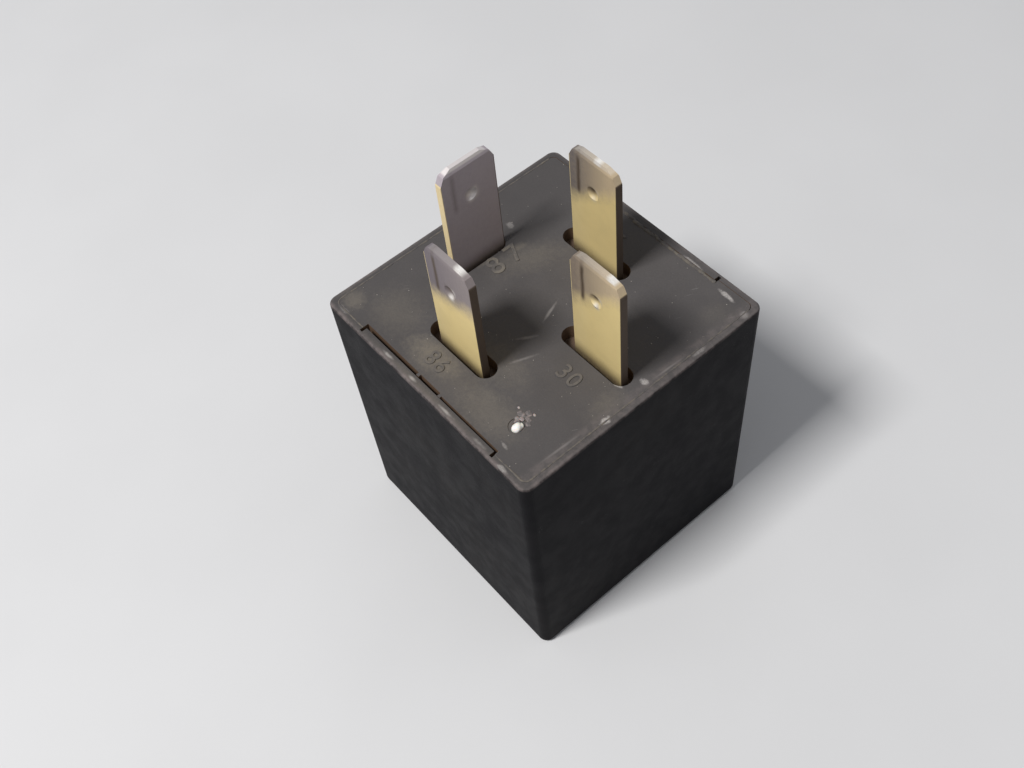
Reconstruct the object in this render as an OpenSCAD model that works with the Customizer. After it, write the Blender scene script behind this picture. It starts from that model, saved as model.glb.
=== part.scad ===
// Four-blade plug-in relay in a square moulded case.
// The case stands on its closed end. +Z runs up along the blades, X crosses the two load blades
// and Y crosses the two coil blades. The origin is the middle of the closed end.

/* [Case] */
// Width of the case along X
case_w = 30; // [29:0.5:36]
// Depth of the case along Y
case_d = 30; // [29:0.5:36]
// Height of the case without the blades
case_h = 33; // [30:0.5:40]
// Thickness of the cover's side walls
wall_t = 1.2; // [1.1:0.05:1.5]
// Thickness of the cover's closed end
floor_t = 1.2; // [0.8:0.1:2]
// How far each side leans in between the rim and the closed end
draft = 0.25; // [0.1:0.05:0.4]
// Radius of the cover's upright edges
edge_r = 1.0; // [0.8:0.1:2]
// Radius around the closed end
floor_r = 0.6; // [0.3:0.1:0.8]
// Radius on the outer edge of the rim
rim_r = 0.25; // [0.1:0.05:0.4]
// Thickness of the rim that stands around the base plate
rim_t = 0.7; // [0.5:0.05:0.85]

/* [Base plate] */
// Thickness of the base plate
base_t = 3.0; // [2.6:0.1:4]
// Gap between the base plate and the rim
base_gap = 0.05; // [0.04:0.01:0.12]
// Depth of the pocket around each blade
pocket_depth = 1.7; // [1:0.1:2.1]
// Length of the pocket around each blade
pocket_l = 8.8; // [8.6:0.1:9.4]
// Width of the pocket around each blade
pocket_w = 2.3; // [1.9:0.1:2.6]
// Shift of the pocket along a coil blade
pocket_along = -0.6; // [-0.7:0.05:0.7]
// Shift of the pocket along a load blade
pocket_load = -0.9; // [-0.9:0.05:0.7]
// Shift of the pocket across the blade
pocket_across = 0.3; // [0:0.05:0.4]
// Clearance around the blade in its slot
slot_gap = 0.08; // [0.05:0.01:0.2]

/* [Snap latches] */
// Length of the tongue on the two latch sides of the rim
tongue_l = 19.2; // [12:0.2:22]
// Thickness of the tongue
tongue_t = 0.95; // [0.9:0.05:1.05]
// Shift of the tongue along its side, to the right of someone who faces it
tongue_shift = 0.2; // [-0.5:0.1:0.5]
// Width of the slit between the tongue and the base plate
slit_w = 0.35; // [0.25:0.05:0.5]
// Width of the same slit on the side of terminal 85
slit_far = 0.15; // [0.1:0.05:0.4]
// Step in the slit past its middle rib
slit_step = 0.15; // [0:0.01:0.15]
// Depth of the cut at each end of the tongue
relief_depth = 0.7; // [0.4:0.1:1.5]
// Wall left outside the cut at each end of the tongue
relief_wall = 0.35; // [0.3:0.05:0.5]
// Width of the crush ribs that centre the base plate
crush_w = 0.35; // [0.2:0.05:0.6]
// Length of the skirt that carries the snap barb
skirt_l = 11; // [6:0.5:14]
// Drop of the skirt below the base plate
skirt_drop = 3.6; // [3:0.1:5]
// Thickness of the skirt
skirt_t = 0.9; // [0.7:0.1:1.2]
// How far the barb stands out
barb_out = 0.4; // [0.25:0.05:0.5]
// Height of the barb
barb_h = 1.2; // [0.8:0.1:1.4]

/* [Vent] */
// Diameter of the dish around the vent stub
vent_d = 1.8; // [1.6:0.1:3.2]
// Depth of the dish
vent_depth = 0.1; // [0.1:0.02:0.4]
// Diameter of the closed vent stub
stub_d = 1.1; // [0.6:0.1:1.2]
// Height of the stub above the plate
stub_h = 0.3; // [0.1:0.05:0.6]

/* [Blades] */
// Width of each blade
blade_w = 6.3; // [6.1:0.05:6.5]
// Thickness of each blade
blade_t = 0.8; // [0.7:0.05:0.9]
// Height of the blades above the base plate
blade_h = 13.6; // [11:0.2:15]
// Size of the eased corners at the tip
tip_cut = 1.4; // [0.5:0.1:1.8]
// Height of the bevel that thins the tip
tip_bevel_h = 0.6; // [0.4:0.1:1.6]
// Thickness left at the tip
tip_t = 0.45; // [0.3:0.05:0.6]
// Diameter of the detent dimple
dimple_d = 1.5; // [1.2:0.1:1.8]
// Web left between the two dimples
dimple_web = 0.2; // [0.15:0.01:0.35]
// Distance from the tip to the dimple
dimple_drop = 4.3; // [3.8:0.1:5]
// Distance between the two coil blades
coil_pitch = 17; // [16.8:0.1:17.6]
// Distance from the coil blades' line to terminal 30
reach_30 = 9.6; // [9.4:0.1:9.9]
// Distance from the coil blades' line to terminal 87
reach_87 = 8.4; // [8.2:0.1:8.8]
// Place of the coil blades' line along X
pattern_x = -0.4; // [-0.5:0.1:0]
// Place of the blade pattern along Y
pattern_y = -0.6; // [-0.8:0.1:0.8]
// Width of the shoulder that seats under the base plate
shoulder_w = 8.2; // [7.4:0.1:9]
// Height of the shoulder
shoulder_h = 1.5; // [1:0.1:2]

/* [Coil] */
// Room between terminal 87's strip and the winding
strip_room = 0.9; // [0.5:0.1:2]
// Room between a coil post and the winding
post_room = 1.3; // [1.3:0.1:2]
// Diameter of the iron core
core_d = 6; // [5:0.2:7]
// Wall of the bobbin's tube
tube_t = 0.7; // [0.5:0.1:1]
// Thickness of the bobbin's flanges
flange_t = 1.0; // [0.8:0.1:1.3]
// Diameter of the core's pole head
pole_d = 9; // [8:0.2:10]
// Thickness of the pole head
pole_t = 1.2; // [1:0.1:1.6]
// Diameter of the core's spigot in the yoke
spigot_d = 4.4; // [3.6:0.1:4.8]
// Number of wire ridges along the winding
ridges = 34; // [20:1:40]
// Depth of the valley between wire ridges
ridge_depth = 0.12; // [0.05:0.01:0.2]
// Diameter of the coil wire
wire_d = 0.25; // [0.2:0.01:0.3]
// Clearance between fixed parts that slide together
fit = 0.05; // [0.03:0.01:0.08]

/* [Yoke and armature] */
// Thickness of the yoke
yoke_t = 1.8; // [1.5:0.1:2]
// Width of the yoke
yoke_w = 12; // [10.5:0.5:13]
// Inside bend radius of the yoke
yoke_bend = 0.6; // [0.4:0.1:1]
// Length of the yoke past the core's spigot
yoke_lip = 2.2; // [1.8:0.1:2.4]
// Room between the winding and the yoke's upright leg
coil_room = 0.8; // [0.5:0.1:1.2]
// Room behind the yoke for the return spring
spring_room = 3.45; // [3.2:0.05:3.8]
// Room under the pole for the armature and its contact
under_room = 5.2; // [4.9:0.1:7]
// Thickness of the armature
arm_t = 1.6; // [1.3:0.1:1.9]
// Gap between the open contacts
contact_gap = 0.95; // [0.6:0.05:1.2]
// Gap left at the contacts and the pole when the armature is pulled in
closed_gap = 0.05; // [0.03:0.01:0.08]
// Width of each hinge lug
lug_w = 1.4; // [1:0.1:1.8]
// Distance between the hinge lugs
lug_span = 4.8; // [4:0.1:5.4]
// Length of the hinge lugs below the yoke
lug_h = 1.4; // [1:0.1:1.6]
// Clearance around a lug in its slot
lug_gap = 0.18; // [0.12:0.01:0.25]
// Length of the armature past the pole
nose_over = 0.6; // [0.4:0.1:0.8]
// Gap between the armature and the back stop
stop_gap = 0.3; // [0.2:0.05:0.4]
// Thickness of the back stop's bar
stop_t = 1.1; // [0.9:0.1:1.3]
// Width of the back stop's bar
stop_l = 1.6; // [1.2:0.1:1.8]

/* [Contacts] */
// Thickness of the contact leaf
leaf_t = 0.3; // [0.2:0.05:0.4]
// Width of the leaf under the armature
leaf_w = 8; // [7:0.2:8.6]
// Distance from the leaf to the yoke
leaf_short = 0.9; // [0.7:0.1:1.2]
// Distance from the core's middle to the place where the leaf narrows
leaf_neck = 2.6; // [2.4:0.1:3]
// Distance from the yoke to the far side of the leaf's ear
ear_back = 5.4; // [5:0.1:5.6]
// Width of the ear that carries the braid
ear_w = 3; // [2.6:0.1:3.2]
// Margin of the leaf around the contact
tip_margin = 0.8; // [0.5:0.1:1]
// Room between the contacts and the cover's wall
contact_room = 0.95; // [0.6:0.05:1.2]
// Height of the contact heads
contact_h = 1.0; // [0.8:0.05:1.2]
// Diameter of the contact shanks
shank_d = 1.6; // [1.2:0.1:1.8]
// Bend radius inside the terminals' feet
foot_bend = 0.4; // [0.3:0.05:0.6]
// Margin of terminal 87's strip around the contact
strip_margin = 1; // [0.6:0.1:1.2]
// Gap between terminal 30's foot and the base plate
foot_gap = 0.4; // [0.4:0.05:0.6]
// Length of terminal 30's foot along Y
foot_l = 5.2; // [5.2:0.1:5.6]
// Distance between the two rivets in terminal 30's foot
rivet_pitch = 2.4; // [2.3:0.1:2.6]
// Shank diameter of the small rivets
rivet_d = 1.3; // [1:0.1:1.4]
// Head diameter of the small rivets
rivet_head_d = 2.2; // [1.9:0.1:2.4]

/* [Spring and leads] */
// Wire of the return spring
spring_wire = 0.4; // [0.3:0.05:0.45]
// Mean diameter of the return spring
spring_d = 2.2; // [2:0.05:2.3]
// Inside diameter of the spring's end loops
loop_d = 2.3; // [2:0.1:2.3]
// Turns of the return spring
spring_turns = 9; // [6:1:11]
// Height of the spring tab above the hinge
tab_rise = 9; // [8.6:0.1:10]
// Width of the neck that the spring hooks over
neck_w = 1.2; // [1:0.1:1.4]
// Diameter of the copper braid
braid_d = 1.1; // [0.8:0.1:1.2]
// Distance from the yoke to the braid's weld on the leaf
braid_reach = 4.6; // [4.4:0.1:4.6]
// Length of the braid's flattened ends
weld_l = 1.8; // [1.4:0.1:1.8]
// Width of the braid's flattened ends
weld_w = 1.5; // [1.2:0.1:1.6]
// Thickness of the braid's flattened ends
weld_t = 0.6; // [0.4:0.1:0.6]
// Bend radius of the braid
braid_bend = 2.0; // [1.6:0.1:2.2]
// Width of the coil posts
post_w = 1.0; // [0.8:0.05:1.1]
// Length of the coil posts below the bobbin's top flange
post_l = 4; // [3:0.1:6]
// Turns of coil wire around each post
wrap_turns = 3; // [2:1:5]

/* [Hidden] */

black = "#26252b";
plate_grey = "#4a4744";
brass = "#b9a668";
spool_white = "#d9d4c4";
copper = "#b06a3c";
steel = "#9a9ca0";
bronze = "#c08a4e";
silver = "#d4d4d2";

$fn = 48;
fine = 32;
eps = 0.01;
// how far a cut runs past the face it opens
over = 1;

// Levels, from the open end down
plate_z = case_h - base_t;
foot_z = plate_z - foot_gap;
yoke_z = foot_z - blade_t;
spool_z = yoke_z - yoke_t;

// Levels, from the closed end up
hinge_z = floor_t + under_room;
flange_z = hinge_z + pole_t;
spool_h = spool_z - flange_z;
coil_h = spool_h - 2 * flange_t;

// Blade places
x30 = pattern_x + reach_30;
x87 = pattern_x - reach_87;
y85 = pattern_y + coil_pitch / 2;
y86 = pattern_y - coil_pitch / 2;
strip_in = x87 + blade_t / 2;
strip_out = x87 - blade_t / 2;

// Places along X, from the cover's wall inwards; the winding fills the room that is left
inner_half_w = case_w / 2 - wall_t - draft;
yoke_back = inner_half_w - spring_room;
yoke_front = yoke_back - yoke_t;
coil_d = min(yoke_front - coil_room - strip_in - strip_room, coil_pitch - blade_t - post_room);
core_x = yoke_front - coil_room - coil_d / 2;
hook_gap = 0.5;
hook_end = 1.0;
spring_x = yoke_back + spring_room / 2 - 2 * fit;
tail_end = spring_x + (spring_wire + hook_gap) / 2 + hook_end - 5 * fit;

// Snap skirt: it hangs just inside the cover's leaning wall
skirt_gap = 0.1;
skirt_y = case_d / 2 - wall_t - draft * (base_t + skirt_drop) / case_h - skirt_gap;
barb_z = plate_z - skirt_drop + 5 * skirt_gap;
barb_room = 3 * skirt_gap;

// Vent stub in its dish, in line with terminal 30
vent_inset = 4.2;
vent_x = x30;
vent_y = -case_d / 2 + vent_inset;

// Contacts, between terminal 87's strip and the cover's wall
contact_d = inner_half_w + strip_out - foot_bend - contact_room;
contact_x = strip_out - foot_bend - contact_d / 2;
foot_reach = foot_bend + contact_d + 2 * fit;
strip_w = contact_d + 2 * strip_margin;
tip_r = contact_d / 2 + tip_margin;

// Opening angle that gives the stated contact gap
open_deg = atan(contact_gap / (yoke_back - contact_x));
// Level of terminal 87's foot, so that the closed contacts just meet
fixed_foot_z = hinge_z - arm_t + 2 * contact_h + closed_gap;
// Underside of the leaf with the armature pulled in
leaf_z = hinge_z - arm_t - leaf_t;

// Spool outline
tube_od = core_d + 2 * fit + 2 * tube_t;
flange_x0 = strip_in + fit;
flange_x1 = yoke_front - 2 * fit;
flange_top_x1 = yoke_front - yoke_bend;
flange_lip = 0.3;
flange_half = coil_d / 2 + flange_lip;
post_half = coil_pitch / 2 + blade_t / 2 + flange_t;
bridge_w = 6;

// Hook ends for the return spring: the yoke's tab and the armature's tail
tab_t = 1.0;
hook_w = 3.2;

// Terminal 30's foot and its rivets
rivet_margin = 0.2;
cone_lip = 0.1;
foot_rivet_x = yoke_front - yoke_bend - rivet_head_d / 2 - rivet_margin;
foot_x0 = foot_rivet_x - rivet_head_d / 2 - 2 * rivet_margin;
foot_x1 = x30 + 1.5 * blade_t;
foot_y0 = pattern_y + blade_t / 2;
foot_rivet_y = foot_y0 + foot_bend + rivet_head_d / 2 + rivet_margin / 2;
foot_rivets_y = [foot_rivet_y, foot_rivet_y + rivet_pitch];

// Leaf rivets, under the pole
leaf_rivet_x = core_x - 1.5;
leaf_rivet_y = 2.6;

// Back stop
nose_x = core_x - pole_d / 2 - nose_over;
stop_x1 = nose_x - stop_gap;
stop_arm_y = yoke_w / 2 + stop_gap;
stop_drop = (yoke_back - stop_x1 + stop_l) * tan(open_deg);
stop_z = leaf_z - stop_drop - fit;

// Braid plane and route levels
braid_y = pattern_y + yoke_w / 2 - weld_w / 2 - 1 * fit;
braid_r = braid_d / 2;
braid_low = leaf_z - braid_r - 10 * fit;
braid_x = yoke_back + braid_r + 5 * fit;
braid_top = hinge_z + 7 * weld_t;

// ---------------------------------------------------------------- shared shapes

// Rectangle with round corners, centred
module round_rect(w, d, r) {
    square([w - 2 * r, d], center = true);
    square([w, d - 2 * r], center = true);
    for (sx = [-1, 1], sy = [-1, 1])
        translate([sx * (w / 2 - r), sy * (d / 2 - r)]) circle(r);
}

// Slot with round ends along X, centred
module slot_2d(l, w) {
    square([l - w, w], center = true);
    for (s = [-1, 1])
        translate([s * (l - w) / 2, 0]) circle(w / 2);
}

// Round ring that shapes one corner of a moulded edge
module edge_ring(r, soft) {
    rotate_extrude($fn = fine) intersection() {
        translate([r - soft, 0]) circle(soft, $fn = 16);
        translate([0, -soft]) square([r, 2 * soft]);
    }
}

// Solid box that widens from half size (w0, d0) at z0 to (w1, d1) at z1
module drafted_box(w0, d0, z0, w1, d1, z1, r, soft0, soft1) {
    hull()
        for (sx = [-1, 1], sy = [-1, 1]) {
            translate([sx * (w0 / 2 - r), sy * (d0 / 2 - r), z0 + soft0]) edge_ring(r, soft0);
            translate([sx * (w1 / 2 - r), sy * (d1 / 2 - r), z1 - soft1]) edge_ring(r, soft1);
        }
}

// Quarter bend of a strip around Y; inside radius r, from below the strip's end to its side
module quarter_bend(r, t, w, start) {
    rotate([90, 0, 0]) translate([0, 0, -w / 2])
        rotate([0, 0, start]) rotate_extrude(angle = 90)
            translate([r, 0]) square([t, w]);
}

// Rivet along +Z: flush cone at z = 0, shank, and a round head past the joined stack
module flush_rivet(stack, d, head_d, head_h) {
    rotate_extrude()
        polygon([[0, 0], [head_d / 2 - cone_lip, 0], [d / 2, (head_d - d) / 2], [d / 2, stack],
            [head_d / 2, stack], [head_d / 2, stack + head_h * 0.6],
            [head_d / 4, stack + head_h], [0, stack + head_h]]);
}

// Hole that takes a flush rivet
module rivet_hole(stack, d, head_d) {
    translate([0, 0, -eps]) cylinder(h = stack + 2 * eps, d = d + 2 * fit);
    translate([0, 0, -eps])
        cylinder(h = (head_d - d) / 2 + eps, d1 = head_d - cone_lip + 2 * fit, d2 = d + 2 * fit);
}

// Contact rivet along +Z: crowned head, shank and upset end
module contact_rivet(stack) {
    crown = 0.2;
    crown_steps = 4;
    upset_h = 0.4;
    upset_r = shank_d / 2 + 0.45;
    shank_r = shank_d / 2;
    // a small flat in the middle, then a low parabola out to the crown's rim
    arc = [for (i = [0 : crown_steps])
        [contact_d / 2 * i / crown_steps, contact_h - crown * pow(max(i - 1, 0) / (crown_steps - 1), 2)]];
    rotate_extrude()
        polygon(concat([[0, -stack - upset_h]], arc, [[contact_d / 2, 0], [shank_r, 0], [shank_r, -stack],
            [upset_r, -stack], [upset_r - 0.3, -stack - upset_h]]));
}

// Everything on the armature is drawn pulled in and swung open about the hinge edge
module swung_open() {
    translate([yoke_back, 0, hinge_z]) rotate([0, -open_deg, 0])
        translate([-yoke_back, 0, -hinge_z]) children();
}

// Turned to lie along Y at terminal 87
module at_87() {
    translate([x87, pattern_y, 0]) rotate([0, 0, 90]) children();
}

// ---------------------------------------------------------------- swept wire

function unit(v) = v / norm(v);
function tangent(p, i) = unit(p[min(i + 1, len(p) - 1)] - p[max(i - 1, 0)]);
function side_of(u, t) = unit(u - (u * t) * t);
// Side vectors carried along the path without twist
function sides_along(p, u0) =
    [for (i = 0, u = side_of(u0, tangent(p, 0)); i < len(p);
        i = i + 1, u = i < len(p) ? side_of(u, tangent(p, i)) : u) u];
function arc(c, r, a0, a1, n) =
    [for (i = [0:n]) let (a = a0 + (a1 - a0) * i / n) c + [r * cos(a), 0, r * sin(a)]];

// Round wire of diameter d along the points p, with n flats
module wire(p, d, n, u0) {
    u = sides_along(p, u0);
    ring = [for (i = [0:len(p) - 1], k = [0:n - 1])
        let (t = tangent(p, i), v = cross(t, u[i]), a = 360 * (k + 0.5) / n)
            p[i] + d / 2 * (cos(a) * u[i] + sin(a) * v)];
    last = (len(p) - 1) * n;
    polyhedron(points = ring, faces = concat(
        [[for (k = [n - 1:-1:0]) n - 1 - k]],
        [[for (k = [n - 1:-1:0]) last + k]],
        [for (i = [0:len(p) - 2], k = [0:n - 1])
            [i * n + k, (i + 1) * n + k, (i + 1) * n + (k + 1) % n]],
        [for (i = [0:len(p) - 2], k = [0:n - 1])
            [i * n + k, (i + 1) * n + (k + 1) % n, i * n + (k + 1) % n]]));
}

// ---------------------------------------------------------------- case

// Space left in the cover for the base plate's side, on the latch sides
module tongue_blocks(thick) {
    for (turn = [0, 180]) rotate([0, 0, turn])
        translate([tongue_shift - tongue_l / 2, -case_d / 2, plate_z])
            cube([tongue_l, thick, base_t]);
}

// Cuts beside both ends of each tongue
module relief_cuts() {
    for (turn = [0, 180], sx = [-1, 1]) rotate([0, 0, turn])
        translate([tongue_shift + sx * (tongue_l + slit_w) / 2 - slit_w / 2,
                relief_wall - case_d / 2, case_h - relief_depth])
            cube([slit_w, tongue_t, relief_depth + over]);
}

module cover() {
    rim_w = case_w - 2 * rim_t;
    rim_d = case_d - 2 * rim_t;
    inner_r = edge_r - rim_t / 2;
    color(black) difference() {
        drafted_box(case_w - 2 * draft, case_d - 2 * draft, 0,
            case_w, case_d, case_h, edge_r, floor_r, rim_r);
        drafted_box(case_w - 2 * (wall_t + draft), case_d - 2 * (wall_t + draft), floor_t,
            case_w - 2 * wall_t, case_d - 2 * wall_t, plate_z + eps, inner_r, 0.2, 0.05);
        difference() {
            translate([0, 0, plate_z]) linear_extrude(base_t + over) round_rect(rim_w, rim_d, inner_r);
            tongue_blocks(tongue_t);
        }
        relief_cuts();
        // recesses that the snap barbs spring into
        for (s = [0, 180]) rotate([0, 0, s])
            translate([-skirt_l / 2 - barb_room, case_d / 2 - wall_t - barb_room, barb_z - barb_room / 2])
                cube([skirt_l + 2 * barb_room, barb_room + barb_out + skirt_gap, barb_h + barb_room]);
    }
}

// Skirt with a barb that snaps into the cover's recess
module snap_skirt() {
    translate([-skirt_l / 2, skirt_y - skirt_t, plate_z - skirt_drop])
        cube([skirt_l, skirt_t, skirt_drop]);
    translate([-skirt_l / 2, skirt_y, barb_z]) rotate([90, 0, 90]) linear_extrude(skirt_l)
        polygon([[-eps, 0], [barb_out / 5, 0], [barb_out, barb_h * 0.7], [barb_out, barb_h], [-eps, barb_h]]);
}

// Outline of the base plate, with the latch slits and their crush ribs
module plate_outline() {
    plate_w = case_w - 2 * (rim_t + base_gap);
    plate_d = case_d - 2 * (rim_t + base_gap);
    // two crush ribs near the slit's middle, and their gaps to the tongue
    rib_x = [-tongue_l * 0.09, tongue_l * 0.08];
    rib_gap = [0.1, 0.03];
    difference() {
        round_rect(plate_w, plate_d, edge_r - rim_t / 2);
        for (side = [[0, slit_w], [180, slit_far]]) rotate(side[0]) translate([0, -case_d / 2]) {
            slit_in = tongue_t + side[1];
            ends = tongue_l / 2 + slit_w;
            translate([tongue_shift - ends, 0])
                square([ends - tongue_shift + rib_x[1], slit_in + slit_step / 2]);
            translate([rib_x[1] - eps, 0])
                square([ends + tongue_shift - rib_x[1] + eps, slit_in - slit_step / 2]);
        }
    }
    for (side = [[0, slit_w], [180, slit_far]], i = [0, 1]) rotate(side[0])
        translate([rib_x[i], -case_d / 2 + tongue_t + rib_gap[i]])
            square([crush_w, side[1] + slit_step]);
}

// Pocket and through slot for one blade that lies along X; the pocket is shifted along and across
module blade_cut(along, across) {
    translate([along, across, case_h - pocket_depth])
        linear_extrude(pocket_depth + over) slot_2d(pocket_l, pocket_w);
    translate([-blade_w / 2 - slot_gap, -blade_t / 2 - slot_gap, plate_z - over])
        cube([blade_w + 2 * slot_gap, blade_t + 2 * slot_gap, base_t - pocket_depth + over + eps]);
}

module base_plate() {
    // three pads that press the yoke down on the spool
    pad_d = 2.2;
    pad_edge = 0.3;
    pad_x0 = core_x - spigot_d / 2 - yoke_lip + pad_d / 2 + pad_edge;
    pad_x1 = yoke_front - yoke_bend - pad_d;
    pad_y = yoke_w / 2 - pad_d / 2 - pad_edge;
    pads = [[pad_x0, pattern_y + pad_y], [pad_x0, pattern_y - pad_y], [pad_x1, pattern_y - pad_y]];
    color(plate_grey) {
        difference() {
            translate([0, 0, plate_z]) linear_extrude(base_t) plate_outline();
            for (y = [y85, y86]) translate([pattern_x, y, 0]) blade_cut(pocket_along, pocket_across);
            translate([x30, pattern_y, 0]) blade_cut(pocket_load, pocket_across);
            at_87() blade_cut(pocket_load, pocket_across);
            translate([vent_x, vent_y, case_h - vent_depth]) cylinder(h = vent_depth + over, d = vent_d);
        }
        translate([vent_x, vent_y, case_h - vent_depth - eps])
            cylinder(h = vent_depth + stub_h, d1 = stub_d, d2 = stub_d * 0.6);
        for (p = pads) translate([p[0], p[1], yoke_z]) cylinder(h = plate_z - yoke_z + eps, d = pad_d);
        for (s = [0, 180]) rotate([0, 0, s]) snap_skirt();
    }
}

// ---------------------------------------------------------------- terminals

// Blade along X from level z0 to the tip, with cut corners, bevelled tip and two dimples
module blade(z0) {
    top = case_h + blade_h;
    // half way along each eased corner
    tip_ease = tip_cut * 0.33;
    dimple_deep = (blade_t - dimple_web) / 2;
    dimple_r = (dimple_d * dimple_d / 4 + dimple_deep * dimple_deep) / (2 * dimple_deep);
    difference() {
        intersection() {
            translate([0, blade_t / 2, 0]) rotate([90, 0, 0]) linear_extrude(blade_t)
                polygon([[-blade_w / 2, z0], [blade_w / 2, z0], [blade_w / 2, top - tip_cut],
                    [blade_w / 2 - tip_ease, top - tip_ease], [blade_w / 2 - tip_cut, top],
                    [-blade_w / 2 + tip_cut, top], [-blade_w / 2 + tip_ease, top - tip_ease],
                    [-blade_w / 2, top - tip_cut]]);
            translate([-blade_w / 2 - over, 0, 0]) rotate([90, 0, 90]) linear_extrude(blade_w + 2 * over)
                polygon([[-blade_t / 2, z0], [blade_t / 2, z0], [blade_t / 2, top - tip_bevel_h],
                    [tip_t / 2, top], [-tip_t / 2, top], [-blade_t / 2, top - tip_bevel_h]]);
        }
        for (s = [-1, 1])
            translate([0, s * (blade_t / 2 + dimple_r - dimple_deep), top - dimple_drop])
                sphere(dimple_r, $fn = 64);
    }
}

// Shoulder that bears against the underside of the base plate
module shoulder() {
    translate([-shoulder_w / 2, -blade_t / 2, plate_z - shoulder_h])
        cube([shoulder_w, blade_t, shoulder_h]);
}

module terminal_30() {
    color(brass) difference() {
        union() {
            translate([x30, pattern_y, 0]) blade(plate_z - eps);
            translate([(foot_x0 + foot_x1) / 2, foot_y0 + foot_bend, plate_z]) rotate([0, 0, 90])
                quarter_bend(foot_bend, blade_t, foot_x1 - foot_x0, 180);
            translate([foot_x0, foot_y0 + foot_bend - eps, yoke_z])
                cube([foot_x1 - foot_x0, foot_l - foot_bend + eps, blade_t]);
        }
        for (y = foot_rivets_y) translate([foot_rivet_x, y, yoke_z - eps])
            cylinder(h = blade_t + over, d = rivet_d + 2 * fit);
    }
}

module terminal_87() {
    bend_z = fixed_foot_z + blade_t + foot_bend;
    color(brass) difference() {
        union() {
            at_87() {
                blade(plate_z - eps);
                shoulder();
            }
            translate([strip_out, pattern_y - strip_w / 2, bend_z - eps])
                cube([blade_t, strip_w, plate_z - shoulder_h - bend_z + 2 * eps]);
            translate([strip_out - foot_bend, pattern_y, bend_z])
                quarter_bend(foot_bend, blade_t, strip_w, 270);
            translate([strip_out - foot_reach, pattern_y - strip_w / 2, fixed_foot_z])
                cube([foot_reach - foot_bend + eps, strip_w, blade_t]);
        }
        translate([contact_x, pattern_y, fixed_foot_z - over])
            cylinder(h = blade_t + 2 * over, d = shank_d + 2 * fit);
    }
}

// Coil terminal: blade, shoulder and a narrow post for the coil wire
module coil_terminal(y) {
    post_z = spool_z - flange_t - post_l;
    color(brass) translate([pattern_x, y, 0]) {
        blade(plate_z - eps);
        shoulder();
        translate([-post_w / 2, -blade_t / 2, post_z])
            cube([post_w, blade_t, plate_z - shoulder_h - post_z + eps]);
    }
}

module terminal_85() {
    coil_terminal(y85);
}

module terminal_86() {
    coil_terminal(y86);
}

// ---------------------------------------------------------------- coil and iron

module bobbin() {
    color(spool_white) difference() {
        union() {
            translate([core_x, pattern_y, flange_z]) cylinder(h = spool_h, d = tube_od);
            // lower flange
            translate([flange_x0, pattern_y - flange_half, flange_z])
                cube([flange_x1 - flange_x0, 2 * flange_half, flange_t]);
            // upper flange, wide enough to grip the coil posts
            translate([flange_x0, pattern_y - flange_half, spool_z - flange_t])
                cube([flange_top_x1 - flange_x0, 2 * flange_half, flange_t]);
            translate([pattern_x, pattern_y, spool_z - flange_t])
                linear_extrude(flange_t) round_rect(bridge_w, 2 * post_half, 1);
            // back stop: two arms and a bar under the leaf
            for (s = [0, 1]) mirror([0, s, 0])
                translate([stop_x1 - stop_l, stop_arm_y + (s ? -1 : 1) * pattern_y, stop_z - stop_t])
                    cube([stop_l, flange_half - stop_arm_y, flange_z + eps - stop_z + stop_t]);
            translate([stop_x1 - stop_l, pattern_y - flange_half, stop_z - stop_t])
                cube([stop_l, 2 * flange_half, stop_t]);
        }
        translate([core_x, pattern_y, flange_z - over])
            cylinder(h = spool_h + 2 * over, d = core_d + 2 * fit);
        for (y = [y85, y86])
            translate([pattern_x - post_w / 2 - fit, y - blade_t / 2 - fit, spool_z - flange_t - over])
                cube([post_w + 2 * fit, blade_t + 2 * fit, flange_t + 2 * over]);
    }
}

module coil_winding() {
    step = coil_h / ridges;
    color(copper) translate([core_x, pattern_y, flange_z + flange_t]) difference() {
        rotate_extrude()
            polygon(concat([[0, 0]],
                [for (i = [0:ridges - 1]) each [
                    [coil_d / 2 - ridge_depth, i * step], [coil_d / 2, (i + 0.5) * step]]],
                [[coil_d / 2 - ridge_depth, coil_h], [0, coil_h]]));
        translate([0, 0, -over]) cylinder(h = coil_h + 2 * over, d = tube_od);
    }
}

module coil_core() {
    pole_edge = 0.2;
    upset_h = 0.7;
    upset_r = spigot_d / 2 + 0.7;
    color(steel) translate([core_x, pattern_y, 0]) rotate_extrude()
        polygon([[0, hinge_z], [pole_d / 2 - pole_edge, hinge_z], [pole_d / 2, hinge_z + pole_edge],
            [pole_d / 2, flange_z], [core_d / 2, flange_z], [core_d / 2, spool_z],
            [spigot_d / 2, spool_z], [spigot_d / 2, yoke_z], [upset_r, yoke_z],
            [upset_r - pole_edge, yoke_z + upset_h * 0.6], [upset_r / 2, yoke_z + upset_h],
            [0, yoke_z + upset_h]]);
}

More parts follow.
